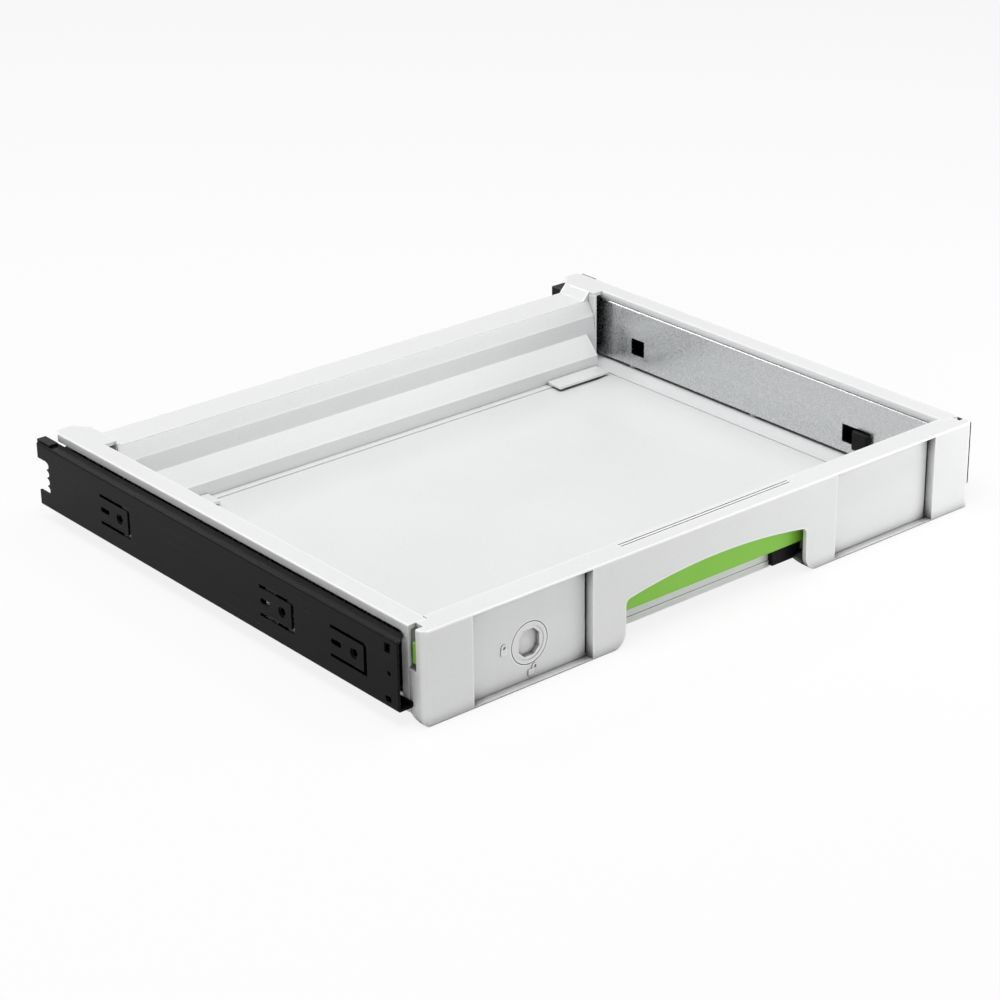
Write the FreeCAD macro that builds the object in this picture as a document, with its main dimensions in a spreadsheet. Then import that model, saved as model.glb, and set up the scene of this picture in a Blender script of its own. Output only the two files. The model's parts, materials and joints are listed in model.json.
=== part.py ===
import FreeCAD, Part
import Sketcher
import os
import re

# Drawer unit of a stacking-case cabinet: a moulded tray with a handled front, hung between a pair of
# three-part ball-bearing slides, with a lifting release bar and a turning lock behind the front.
# The shape is drawn with X to the right, Y from the front face to the back and Z up from the lowest edge.
# Right-hand slide pieces are drawn once and mirrored for the left.

# Driving sizes, in millimetres unless the name says how many
SIZES = {
    # widths of the tray and the slide beside it
    "tray_clear_width": 396.0,
    "rail_gap": 0.6,
    "slide_width": 21.9,
    "side_clearance": 0.2,
    # rail sections
    "rail_height": 40.8,
    "rail_bottom": 9.2,
    "rail_steel": 1.5,
    "rail_profile": 9.6,
    "rail_lip": 3.2,
    "rail_bend": 1.2,
    "rail_length": 350.0,
    "rail_front": 9.5,
    # balls, races and cages
    "ball_radius": 2.4,
    "ball_play": 0.05,
    "race_depth": 0.5,
    "middle_steel": 1.5,
    "middle_back_gap": 1.0,
    "middle_front_gap": 0.6,
    "middle_nose": 8.0,
    "cage_steel": 0.8,
    "cage_gap": 0.3,
    "cage_edge": 1.0,
    "cage_pocket": 0.1,
    "cage_clearance": 0.5,
    "cage_margin": 7.5,
    "ball_pitch": 20.0,
    "outer_ball_count": 9,
    "inner_ball_count": 7,
    "outer_cage_setback": 85.5,
    "inner_cage_setback": 87.5,
    "cage_window": 10.0,
    "rivet_radius": 2.0,
    "rivet_head_radius": 3.4,
    "rivet_head": 1.0,
    "rivet_play": 0.05,
    "rivet_count": 4,
    "rivet_inset": 30.0,
    # pressed hooks and holes in the cabinet rail web
    "hook_setback": 37.0,
    "grid_pitch": 32.0,
    "hook_hole_radius": 2.2,
    "hook_sink_radius": 3.3,
    "hook_sink": 0.7,
    "hook_front": 11.0,
    "hook_length": 31.5,
    "hook_height": 19.2,
    "hook_slot": 2.0,
    "hook_front_slot": 2.6,
    "oval_start": 11.0,
    "oval_length": 9.0,
    "oval_radius": 1.6,
    "oval_corner": 1.4,
    "front_hole_setback": 5.6,
    "front_hole_length": 5.0,
    "front_hole_height": 5.6,
    "front_hole_rise": 11.7,
    "pin_hole_radius": 1.5,
    "low_hole_height": 3.4,
    "low_hole_drop": 15.4,
    "low_hole_corner": 1.0,
    "rear_notch_depth": 9.5,
    "rear_notch_height": 21.0,
    "scallop_radius": 2.3,
    "scallop_count": 4,
    "flange_cut": 7.5,
    # rear stop clip of the cabinet rail
    "stop_wall": 1.5,
    "stop_pad": 1.4,
    "stop_reach": 12.5,
    "stop_thickness": 3.5,
    "stop_drop": 8.0,
    "stop_setin": 2.1,
    # drawer rail
    "catch_hole_front": 70.4,
    "catch_hole_length": 23.9,
    "catch_hole_bottom": 16.4,
    "catch_hole_height": 11.9,
    "rear_hole_setback": 47.7,
    "rear_hole_length": 12.6,
    "rear_hole_bottom": 18.3,
    "rear_hole_height": 11.5,
    "catch_length": 13.5,
    "catch_reach": 3.8,
    "catch_flange": 1.0,
    "catch_play": 0.4,
    "catch_chamfer": 1.2,
    # screws
    "screw_radius": 1.75,
    "screw_play": 0.1,
    "screw_head_radius": 3.2,
    "screw_head": 2.0,
    "tray_screw_offset": 5.2,
    "tray_screw_front": 60.0,
    "tray_screw_back": 34.0,
    "tray_screw_count": 3,
    "boss_radius": 4.0,
    # front panel
    "panel_height": 55.7,
    "cheek_depth": 12.3,
    "deck": 2.5,
    "panel_wall": 2.7,
    "panel_floor": 2.4,
    "panel_toe": 3.5,
    "panel_heel_rise": 5.4,
    "corner_radius": 4.0,
    "edge_radius": 0.8,
    "inset_inner": 94.2,
    "inset_outer": 177.6,
    "inset_depth": 5.2,
    "inset_wall": 1.5,
    "inset_lip": 1.1,
    "end_slot_width": 1.5,
    "end_slot_margin": 2.6,
    "notch_half": 70.0,
    "notch_flare": 10.0,
    "notch_crown": 34.8,
    "notch_arch_radius": 380.0,
    "notch_corner": 4.0,
    "groove_half": 65.0,
    "groove_front": 9.8,
    "groove_pitch": 2.4,
    "groove_width": 0.7,
    "groove_depth": 1.6,
    "slot_inner": 5.2,
    "slot_bottom": 31.0,
    "slot_play": 0.6,
    "low_screw_x": 110.0,
    "low_screw_z": 12.0,
    "end_screw_x": 190.0,
    "end_screw_z": 14.0,
    "screw_depth": 6.0,
    # release bar and its guides and springs
    "bar_gap": 0.2,
    "bar_thickness": 2.6,
    "bar_end_gap": 6.7,
    "bar_bottom": 22.0,
    "bar_top": 44.0,
    "bar_lift": 6.0,
    "grip_half": 75.0,
    "grip_bottom": 17.4,
    "tab_play": 0.5,
    "tab_bottom": 35.0,
    "tab_top_play": 0.2,
    "guide_play": 0.3,
    "guide_right_start": 52.6,
    "guide_left_start": 62.5,
    "guide_bottom": 6.4,
    "guide_top": 41.0,
    "spring_x": 86.0,
    "spring_seat": 34.0,
    "spring_seat_thickness": 1.5,
    "spring_seat_half": 4.4,
    "spring_radius": 2.6,
    "spring_wire": 0.4,
    "spring_end_gap": 0.05,
    "spring_turns": 7,
    "spring_pin_radius": 1.8,
    "spring_pin_length": 4.0,
    "bar_cut_half": 5.0,
    "bar_rest_x": 165.0,
    "bar_rest_half": 5.0,
    "bar_rest_gap": 0.3,
    "bar_rest_height": 3.0,
    # lock
    "lock_x": 135.0,
    "lock_z": 22.7,
    "dial_radius": 12.25,
    "dial_gap": 0.45,
    "dial_rim": 0.9,
    "dial_face_gap": 0.1,
    "dial_recess_radius": 10.0,
    "dial_recess": 0.3,
    "hub_radius": 9.5,
    "hub_play": 0.1,
    "collar_wall": 1.6,
    "collar_length": 3.4,
    "hub_stand": 0.1,
    "key_half_width": 7.25,
    "key_half_height": 7.9,
    "key_chamfer": 4.0,
    "key_depth": 3.0,
    "lock_passage": 3.6,
    "cam_thickness": 2.4,
    "cam_radius": 10.8,
    "cam_reach": 18.0,
    "cam_half_width": 4.0,
    "cam_screw_radius": 1.5,
    "cam_screw_head_radius": 2.8,
    "cam_screw_head": 1.2,
    "cam_screw_depth": 1.5,
    # raised padlock marks
    "mark_height": 0.5,
    "mark_half_width": 2.1,
    "mark_body": 3.6,
    "mark_ring_radius": 1.9,
    "open_mark_shift": 2.5,
    "mark_line": 0.9,
    "closed_mark_x": 153.0,
    "closed_mark_z": 21.2,
    "open_mark_x": 134.2,
    "open_mark_z": 3.4,
    # tray
    "tray_wall": 2.5,
    "front_joint": 1.1,
    "rim_back_gap": 4.2,
    "rim_lip": 2.6,
    "rim_skirt": 1.8,
    "rim_skirt_bottom": 50.6,
    "cheek_return": 5.7,
    "rim_corner_radius": 6.0,
    "ledge_top": 7.6,
    "ledge_thickness": 2.7,
    "ledge_under_rail": 8.0,
    "ledge_width": 15.0,
    "ledge_step": 5.0,
    "ledge_drop": 0.7,
    "pan_drop": 3.0,
    "pan_slope": 43.0,
    "pan_thickness": 2.2,
    "pan_border": 5.0,
    "rib_width": 2.0,
    "rib_pitch": 60.0,
    "rib_half_span": 190.0,
    "cross_rib_pitch": 66.0,
    "back_foot_depth": 11.0,
    "back_shelf_low": 17.3,
    "back_shelf_high": 28.9,
    "back_mid_depth": 6.5,
    "back_mid_high": 40.6,
    "back_mid_lean": 1.0,
    "back_top_depth": 33.3,
    "back_lip": 0.8,
    "back_half_low": 182.0,
    "post_face": 189.5,
    "post_wall": 1.5,
    "post_hole_skin": 0.3,
    "back_rim_depth": 24.0,
    "back_rim_height": 50.0,
    "back_skirt": 8.0,
    "back_rib_pitch": 45.0,
    "cap_overlap": 4.0,
    "cap_inset": 8.0,
    "cap_slope": 5.5,
    "corner_step_inner": 137.0,
    "corner_step_outer": 180.0,
    "corner_step_depth": 13.5,
    "corner_step_top": 9.9,
    "front_band": 0.5,
    "front_band_top": 8.9,
    # rear guide blocks
    "block_length": 35.5,
    "block_bottom": 12.0,
    "block_top": 49.8,
    "block_outer_gap": 0.8,
    "block_wing": 1.0,
    "block_joint": 0.3,
    "block_screw_setback": 9.0,
    "block_screw_low": 20.0,
    "block_screw_high": 42.0,
    "block_radius": 1.5,
    "cut_spare": 0.5,
}

# Sizes that follow from the driving ones
FOLLOWING = {
    "tray_half": "tray_clear_width / 2",
    "rail_face": "tray_half + rail_gap",
    "slide_middle": "rail_face + slide_width / 2",
    "cabinet_face": "rail_face + slide_width",
    "panel_half": "cabinet_face - rail_profile - side_clearance",
    "rail_top": "rail_bottom + rail_height",
    "rail_level": "rail_bottom + rail_height / 2",
    "rail_back": "rail_front + rail_length",
    "unit_depth": "rail_back + stop_wall",
    "drawer_rail_back": "rail_back - block_length",
    "rear_hole_front": "drawer_rail_back - rear_hole_setback",
    "rim_back": "rail_back - rim_back_gap",
    "back_top": "rim_back - back_top_depth",
    "back_mid": "back_top - back_mid_depth",
    "back_foot": "back_mid - back_foot_depth",
    "cap_start": "back_top - cap_overlap",
    "corner_step_front": "back_foot - corner_step_depth",
    "ball_rise": "rail_height / 2 - rail_steel - ball_play - ball_radius",
    "ball_out": "slide_width / 2 - rail_profile + rail_steel + ball_play + ball_radius",
    "race_face": "ball_rise - ball_radius - ball_play + race_depth",
    "cage_back": "slide_width / 2 - rail_steel - cage_gap",
    "cage_front": "ball_out - ball_radius - cage_pocket - cage_edge",
    "middle_reach": "cage_back - cage_steel - cage_clearance",
    "deck_bottom": "panel_height - deck",
    "tray_front": "cheek_depth + front_joint",
    "deck_back": "tray_front + tray_wall",
    "cheek_back": "cheek_depth + cheek_return",
    "middle_front": "cheek_back + middle_front_gap",
    "middle_length": "rail_back - stop_thickness - middle_back_gap - middle_front",
    "bar_front": "inset_depth + inset_wall + bar_gap",
    "bar_back": "bar_front + bar_thickness",
    "bar_half": "panel_half - bar_end_gap",
    "tab_half": "panel_half - tab_play",
    "tab_top": "deck_bottom - bar_lift - tab_top_play",
    "guide_front": "bar_back + guide_play",
    "spring_y": "(bar_front + bar_back) / 2",
    "collar_radius": "hub_radius + hub_play + collar_wall",
    "inset_back": "inset_depth + inset_wall",
    "collar_back": "inset_back + collar_length",
    "cam_front": "collar_back + hub_stand",
    "cam_back": "cam_front + cam_thickness",
    "ledge_bottom": "ledge_top - ledge_thickness",
    "pan_outer": "tray_half - ledge_width - ledge_step",
    "pan_rim": "ledge_top - ledge_drop",
    "pan_floor": "pan_rim - pan_drop",
    "pan_front": "deck_back + pan_border",
    "pan_back": "back_foot - pan_border",
    "back_mid_outer": "back_mid + tray_wall",
    "back_rim_back": "back_top + back_rim_depth",
    "post_back": "post_face + post_wall",
    "block_outer": "slide_middle - middle_reach - block_outer_gap",
    "tray_screw_x": "rail_face + tray_screw_offset",
}

os.makedirs("parts", exist_ok=True)
doc = FreeCAD.newDocument("drawer_unit")
sheet = doc.addObject("Spreadsheet::Sheet", "sizes")
for row, (name, size) in enumerate(SIZES.items(), start=1):
    sheet.set(f"A{row}", name.replace("_", " "))
    sheet.set(f"B{row}", str(size))
    sheet.setAlias(f"B{row}", name)
doc.recompute()

LEFT, RIGHT = -1, 1
SIDES = (LEFT, RIGHT)
PLANES = {"XY": ("XY_Plane", 1), "XZ": ("XZ_Plane", -1), "YZ": ("YZ_Plane", 1)}
ORIGIN = -1
nodes = []
pockets = []


def bound(formula):
    """Write a formula so that every size in it is read from the sheet."""
    def one_word(match):
        word = match.group(0)
        if word in SIZES:
            return "sizes." + word
        if word in FOLLOWING:
            return "(" + bound(FOLLOWING[word]) + ")"
        return word
    return re.sub(r"[a-z][a-z_]*", one_word, str(formula))


def value(formula):
    return float(sheet.evalExpression(bound(formula)))


def count(name):
    return int(round(value(name)))


def tie(thing, field, formula):
    thing.setExpression(field, bound(formula))


# Outlines: a list of corners (across, up) or (across, up, radius) where the sides meet square
def rectangle(left, low, right, high, radius=None):
    corners = [(left, low), (right, low), (right, high), (left, high)]
    if radius is not None:
        corners = [corner + (radius,) for corner in corners]
    return corners


def circle(across, up, radius):
    return {"centre": (across, up), "radius": radius}


def mirrored(corners, axis_sign):
    """The same outline on the other side of the middle plane."""
    if isinstance(corners, dict):
        across, up = corners["centre"]
        return circle(f"{axis_sign} * ({across})", up, corners["radius"])
    return [(f"{axis_sign} * ({corner[0]})",) + tuple(corner[1:]) for corner in corners]


def unit_step(start, end):
    length = ((end[0] - start[0]) ** 2 + (end[1] - start[1]) ** 2) ** 0.5
    return ((end[0] - start[0]) / length, (end[1] - start[1]) / length)


def held_at(shape, point, spot):
    """Two constraints, each with its formula, that hold one point of a sketch."""
    return [
        (Sketcher.Constraint(kind, ORIGIN, 1, shape, point, value(formula)), formula)
        for kind, formula in zip(("DistanceX", "DistanceY"), spot)
    ]


def joined(first, first_point, second, second_point):
    return [(Sketcher.Constraint("Coincident", first, first_point, second, second_point), None)]


def of_radius(shape, radius):
    return [(Sketcher.Constraint("Radius", shape, value(radius)), radius)]


def constrain(flat, holds):
    """Add constraints together, then tie the measured ones to their formulas."""
    start = flat.ConstraintCount
    flat.addConstraint([constraint for constraint, formula in holds])
    for index, (constraint, formula) in enumerate(holds, start=start):
        if formula is not None:
            flat.setExpression(f"Constraints[{index}]", bound(formula))


def draw_circle(flat, ring):
    across, up = ring["centre"]
    middle = FreeCAD.Vector(value(across), value(up), 0)
    shape = flat.addGeometry(Part.Circle(middle, FreeCAD.Vector(0, 0, 1), value(ring["radius"])))
    return held_at(shape, 3, (across, up)) + of_radius(shape, ring["radius"])


def point_of(spot):
    return FreeCAD.Vector(value(spot[0]), value(spot[1]), 0)


def draw_corners(flat, corners):
    spots = [(value(corner[0]), value(corner[1])) for corner in corners]
    total = len(corners)
    entries, exits, arcs = [], [], {}
    for place in range(total):
        across, up = corners[place][:2]
        if len(corners[place]) == 2:
            entries.append((across, up))
            exits.append((across, up))
            continue
        radius = corners[place][2]
        come = unit_step(spots[place - 1], spots[place])
        leave = unit_step(spots[place], spots[(place + 1) % total])
        entries.append(tuple(f"({spot}) - ({radius}) * {step:.0f}" for spot, step in zip((across, up), come)))
        exits.append(tuple(f"({spot}) + ({radius}) * {step:.0f}" for spot, step in zip((across, up), leave)))
        arcs[place] = (radius, come, leave)
    lines, holds = [], []
    for place in range(total):
        start = exits[place]
        line = flat.addGeometry(Part.LineSegment(point_of(start), point_of(entries[(place + 1) % total])))
        lines.append(line)
        holds += held_at(line, 1, start)
    for place in range(total):
        following = (place + 1) % total
        if following in arcs:
            holds += held_at(lines[place], 2, entries[following])
        else:
            holds += joined(lines[place], 2, lines[following], 1)
    for place, (radius, come, leave) in arcs.items():
        size = value(radius)
        start = point_of(entries[place])
        middle = start + FreeCAD.Vector(leave[0], leave[1], 0) * size
        inward = FreeCAD.Vector(leave[0] - come[0], leave[1] - come[1], 0).normalize()
        arc = flat.addGeometry(Part.Arc(start, middle - inward * size, point_of(exits[place])))
        turns_left = come[0] * leave[1] - come[1] * leave[0] > 0
        first, last = (1, 2) if turns_left else (2, 1)
        holds += joined(lines[place - 1], 2, arc, first) + joined(lines[place], 1, arc, last)
        holds += of_radius(arc, radius)
    return holds


def sketch(body, name, plane, start, outlines):
    role, sign = PLANES[plane]
    flat = body.newObject("Sketcher::SketchObject", name)
    support = [plain for plain in body.Origin.OriginFeatures if plain.Role == role][0]
    flat.AttachmentSupport = [(support, "")]
    flat.MapMode = "FlatFace"
    tie(flat, "AttachmentOffset.Base.z", f"{sign} * ({start})")
    holds = []
    for outline in outlines:
        holds += draw_circle(flat, outline) if isinstance(outline, dict) else draw_corners(flat, outline)
    constrain(flat, holds)
    return flat


def pad(body, name, plane, start, end, outlines):
    """Solid between two levels, growing towards plus on the plane's axis."""
    feature = body.newObject("PartDesign::Pad", name)
    feature.Profile = sketch(body, name + "_outline", plane, start, outlines)
    tie(feature, "Length", f"({end}) - ({start})")
    feature.Reversed = plane == "XZ"
    return feature


def pocket(body, name, plane, start, end, outlines):
    feature = body.newObject("PartDesign::Pocket", name)
    feature.Profile = sketch(body, name + "_outline", plane, start, outlines)
    tie(feature, "Length", f"({end}) - ({start})")
    feature.Reversed = plane != "XZ"
    pockets.append(feature)
    return feature


def prism(name, plane, start, end, *outlines):
    body = doc.addObject("PartDesign::Body", name)
    pad(body, name + "_pad", plane, start, end, outlines)
    return body


def box(name, left, right, front, back, low, high):
    block = doc.addObject("Part::Box", name)
    tie(block, "Length", f"({right}) - ({left})")
    tie(block, "Width", f"({back}) - ({front})")
    tie(block, "Height", f"({high}) - ({low})")
    for axis, formula in zip("xyz", (left, front, low)):
        tie(block, f"Placement.Base.{axis}", formula)
    return block


AXES = {
    "X": (FreeCAD.Vector(0, 1, 0), 90),
    "Y": (FreeCAD.Vector(1, 0, 0), -90),
    "Z": (FreeCAD.Vector(0, 0, 1), 0),
}


def rod(name, axis, radius, length, spot):
    """Cylinder that starts at a spot and runs towards plus on its axis."""
    cylinder = doc.addObject("Part::Cylinder", name)
    cylinder.Placement.Rotation = FreeCAD.Rotation(*AXES[axis])
    tie(cylinder, "Radius", radius)
    tie(cylinder, "Height", length)
    for letter, formula in zip("xyz", spot):
        tie(cylinder, f"Placement.Base.{letter}", formula)
    return cylinder


def fuse(name, pieces):
    joined = doc.addObject("Part::MultiFuse", name)
    joined.Shapes = pieces
    joined.Refine = True
    return joined


def cut(name, base, tools):
    result = doc.addObject("Part::Cut", name)
    result.Base = base
    result.Tool = tools[0] if len(tools) == 1 else fuse(name + "_tools", tools)
    result.Refine = True
    return result


def group(name, pieces):
    """Separate solids that share one node."""
    together = doc.addObject("Part::Compound", name)
    together.Links = pieces
    return together


def node(piece, label):
    piece.Label = label
    tie(piece, "Placement.Base.y", "-(unit_depth) / 2")
    nodes.append(piece)
    return piece


def mirror_of(piece, label):
    twin = doc.addObject("Part::Mirroring", label)
    twin.Source = piece
    twin.Base = FreeCAD.Vector(0, 0, 0)
    twin.Normal = FreeCAD.Vector(1, 0, 0)
    twin.Label = label
    nodes.append(twin)
    return twin


def on_side(side, near, far):
    """Two places across the unit, on its left or right, with the lower one first."""
    return sorted((f"{side} * ({near})", f"{side} * ({far})"), key=value)


def both_sides(piece, name):
    """The drawn right-hand piece and its left-hand twin."""
    node(piece, "right_" + name)
    mirror_of(piece, "left_" + name)


# Rails of the slides
def rail_outline(face, inward):
    """C section whose web lies on a face and whose flanges reach inward."""
    def across(distance):
        return f"({face}) + {inward} * ({distance})"
    tip = across("rail_profile")
    lip = across("rail_profile - rail_steel")
    web = across("rail_steel")
    return [
        (across("0"), "rail_bottom", "rail_bend"),
        (tip, "rail_bottom", "rail_bend"),
        (tip, "rail_bottom + rail_lip"),
        (lip, "rail_bottom + rail_lip"),
        (lip, "rail_bottom + rail_steel"),
        (web, "rail_bottom + rail_steel"),
        (web, "rail_top - rail_steel"),
        (lip, "rail_top - rail_steel"),
        (lip, "rail_top - rail_lip"),
        (tip, "rail_top - rail_lip"),
        (tip, "rail_top", "rail_bend"),
        (across("0"), "rail_top", "rail_bend"),
    ]


def hook_outline(hole):
    """Slot on three sides of a tongue that stays joined at its back."""
    front = f"{hole} - hook_front"
    back = f"{hole} - hook_front + hook_length"
    low = "rail_level - hook_height / 2"
    high = "rail_level + hook_height / 2"
    return [
        (front, low),
        (back, low),
        (back, f"{low} + hook_slot"),
        (f"{front} + hook_front_slot", f"{low} + hook_slot"),
        (f"{front} + hook_front_slot", f"{high} - hook_slot"),
        (back, f"{high} - hook_slot"),
        (back, high),
        (f"{front} + hook_slot", high),
        (front, f"{high} - hook_slot"),
    ]


def make_cabinet_rail():
    body = doc.addObject("PartDesign::Body", "cabinet_rail")
    pad(body, "cabinet_section", "XZ", "rail_front", "rail_back", [rail_outline("cabinet_face", -1)])
    web_start = "cabinet_face - rail_steel - cut_spare"
    web_end = "cabinet_face + cut_spare"
    hooks, ovals, holes, sinks = [], [], [], []
    for step in (0, 2, 7):
        hole = f"rail_front + hook_setback + {step} * grid_pitch"
        hooks.append(hook_outline(hole))
        holes.append(circle(hole, "rail_level", "hook_hole_radius"))
        sinks.append(circle(hole, "rail_level", "hook_sink_radius"))
        start = f"{hole} + oval_start"
        ovals.append(rectangle(start, "rail_level - oval_radius", f"{start} + oval_length",
                               "rail_level + oval_radius", "oval_corner"))
    pocket(body, "hook_slots", "YZ", web_start, web_end, hooks)
    pocket(body, "hook_holes", "YZ", web_start, web_end, holes)
    pocket(body, "hook_ovals", "YZ", web_start, web_end, ovals)
    pocket(body, "hook_sinks", "YZ", "cabinet_face - hook_sink", web_end, sinks)
    near = "rail_front + front_hole_setback"
    far = f"{near} + front_hole_length"
    high_low = "rail_level + front_hole_rise"
    low_high = "rail_level - low_hole_drop + low_hole_height / 2"
    pocket(body, "front_holes", "YZ", web_start, web_end, [
        rectangle(near, high_low, far, f"{high_low} + front_hole_height"),
        circle(f"{near} + pin_hole_radius", "rail_level", "pin_hole_radius"),
        rectangle(near, f"{low_high} - low_hole_height", far, low_high, "low_hole_corner"),
    ])
    notch_start = "rail_back - rear_notch_depth"
    notch_low = "rail_level - rear_notch_height / 2"
    pocket(body, "rear_notch", "YZ", web_start, web_end, [
        rectangle(notch_start, notch_low, "rail_back + cut_spare", f"{notch_low} + rear_notch_height"),
    ])
    pocket(body, "rear_scallops", "YZ", web_start, web_end, [
        circle(notch_start, f"{notch_low} + rear_notch_height * ({step} + 0.5) / scallop_count",
               "scallop_radius")
        for step in range(count("scallop_count"))
    ])
    pocket(body, "flange_corner", "XY", "rail_top - rail_lip - cut_spare", "rail_top + cut_spare", [[
        ("cabinet_face - rail_profile - cut_spare", "rail_front - cut_spare"),
        ("cabinet_face - rail_steel", "rail_front - cut_spare"),
        ("cabinet_face - rail_steel", "rail_front"),
        ("cabinet_face - rail_profile", "rail_front + flange_cut"),
        ("cabinet_face - rail_profile - cut_spare", "rail_front + flange_cut"),
    ]])
    both_sides(body, "cabinet_rail")


def make_drawer_rail():
    body = doc.addObject("PartDesign::Body", "drawer_rail")
    pad(body, "drawer_section", "XZ", "deck_back", "drawer_rail_back", [rail_outline("rail_face", 1)])
    pocket(body, "web_holes", "YZ", "rail_face - cut_spare", "rail_face + rail_steel + cut_spare", [
        rectangle("catch_hole_front", "catch_hole_bottom", "catch_hole_front + catch_hole_length",
                  "catch_hole_bottom + catch_hole_height"),
        rectangle("rear_hole_front", "rear_hole_bottom", "rear_hole_front + rear_hole_length",
                  "rear_hole_bottom + rear_hole_height"),
    ])
    pocket(body, "floor_holes", "XY", "rail_bottom - cut_spare", "rail_bottom + rail_steel + cut_spare", [
        circle("tray_screw_x", tray_screw_spot(step), "screw_radius + screw_play")
        for step in range(count("tray_screw_count"))
    ])
    both_sides(body, "drawer_rail")


def tray_screw_spot(step):
    gaps = count("tray_screw_count") - 1
    return f"tray_screw_front + {step} * (drawer_rail_back - tray_screw_back - tray_screw_front) / {gaps}"


def rivet_spot(step):
    gaps = count("rivet_count") - 1
    return f"middle_front + rivet_inset + {step} * (middle_length - 2 * rivet_inset) / {gaps}"


def make_middle_rail():
    """Two channels back to back, riveted through their webs."""
    halves = []
    for side, name in ((LEFT, "inner"), (RIGHT, "outer")):
        def across(distance):
            return f"slide_middle + {side} * ({distance})"
        body = doc.addObject("PartDesign::Body", f"middle_{name}_channel")
        pad(body, f"middle_{name}_section", "XZ", "middle_front", "middle_front + middle_length", [[
            (across("0"), "rail_level - race_face"),
            (across("middle_reach"), "rail_level - race_face"),
            (across("middle_reach"), "rail_level - race_face + middle_steel"),
            (across("middle_steel"), "rail_level - race_face + middle_steel"),
            (across("middle_steel"), "rail_level + race_face - middle_steel"),
            (across("middle_reach"), "rail_level + race_face - middle_steel"),
            (across("middle_reach"), "rail_level + race_face"),
            (across("0"), "rail_level + race_face"),
        ]])
        pocket(body, f"middle_{name}_races", "XZ", "middle_front - cut_spare",
               "middle_front + middle_length + cut_spare", [
                   circle(across("ball_out"), f"rail_level + {up} * ball_rise", "ball_radius + ball_play")
                   for up in (-1, 1)
               ])
        start, end = ("slide_middle - middle_reach - cut_spare", "slide_middle + middle_reach + cut_spare")
        noses = []
        for up in (-1, 1):
            edge = f"rail_level + {up} * race_face"
            past = f"{edge} + {up} * cut_spare"
            under = f"{edge} - {up} * (middle_nose + cut_spare)"
            noses.append([
                ("middle_front - cut_spare", past),
                ("middle_front - cut_spare", under),
                ("middle_front", under),
                ("middle_front", edge, "middle_nose"),
                ("middle_front + middle_nose + cut_spare", edge),
                ("middle_front + middle_nose + cut_spare", past),
            ])
        pocket(body, f"middle_{name}_noses", "YZ", start, end, noses)
        pocket(body, f"middle_{name}_rivet_holes", "YZ", start, end, [
            circle(rivet_spot(step), "rail_level", "rivet_radius + rivet_play")
            for step in range(count("rivet_count"))
        ])
        halves.append(body)
    both_sides(group("middle_channels", halves), "middle_rail")
    rivets = []
    for step in range(count("rivet_count")):
        spot = rivet_spot(step)
        rivets.append(fuse(f"rivet_{step + 1}", [
            rod(f"rivet_shank_{step + 1}", "X", "rivet_radius", "2 * middle_steel",
                ("slide_middle - middle_steel", spot, "rail_level")),
            rod(f"rivet_inner_head_{step + 1}", "X", "rivet_head_radius", "rivet_head",
                ("slide_middle - middle_steel - rivet_head", spot, "rail_level")),
            rod(f"rivet_outer_head_{step + 1}", "X", "rivet_head_radius", "rivet_head",
                ("slide_middle + middle_steel", spot, "rail_level")),
        ]))
    both_sides(group("rivets", rivets), "middle_rivets")


def make_cage(name, side, setback, ball_total):
    """Ball cage with a ball in each pocket, on the inner or outer side of the middle rail."""
    def across(distance):
        return f"slide_middle + {side} * ({distance})"
    front = f"rail_front + {setback}"
    balls = count(ball_total)
    length = f"{balls - 1} * ball_pitch + 2 * cage_margin"
    high = "ball_rise + cage_steel / 2"
    low = "ball_rise - cage_steel / 2"
    body = doc.addObject("PartDesign::Body", f"{name}_strip")
    pad(body, f"{name}_section", "XZ", front, f"{front} + {length}", [[
        (across("cage_back"), f"rail_level - ({high})"),
        (across("cage_front"), f"rail_level - ({high})"),
        (across("cage_front"), f"rail_level - ({low})"),
        (across("cage_back - cage_steel"), f"rail_level - ({low})"),
        (across("cage_back - cage_steel"), f"rail_level + {low}"),
        (across("cage_front"), f"rail_level + {low}"),
        (across("cage_front"), f"rail_level + {high}"),
        (across("cage_back"), f"rail_level + {high}"),
    ]])
    spots = [f"{front} + cage_margin + {step} * ball_pitch" for step in range(balls)]
    pocket(body, f"{name}_pockets", "XY", f"rail_level - ({high}) - cut_spare",
           f"rail_level + {high} + cut_spare", [
               circle(across("ball_out"), spot, "ball_radius + cage_pocket") for spot in spots
           ])
    past_web = (across("cage_back + cage_gap / 2"), across("cage_back - cage_steel - cage_clearance / 2"))
    ends = sorted(past_web, key=value)
    pocket(body, f"{name}_windows", "YZ", ends[0], ends[1], [
        rectangle(f"{spot} + (ball_pitch - cage_window) / 2", "rail_level - cage_window",
                  f"{spot} + (ball_pitch + cage_window) / 2", "rail_level + cage_window", "cage_steel")
        for spot in spots[:-1]
    ])
    both_sides(body, name)
    steel = []
    for row, up in (("low", -1), ("high", 1)):
        for step, spot in enumerate(spots, start=1):
            ball = doc.addObject("Part::Sphere", f"{name}_{row}_ball_{step}")
            tie(ball, "Radius", "ball_radius")
            tie(ball, "Placement.Base.x", across("ball_out"))
            tie(ball, "Placement.Base.y", spot)
            tie(ball, "Placement.Base.z", f"rail_level + {up} * ball_rise")
            steel.append(ball)
    both_sides(group(f"{name}_ball_set", steel), name.replace("cage", "balls"))


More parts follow.
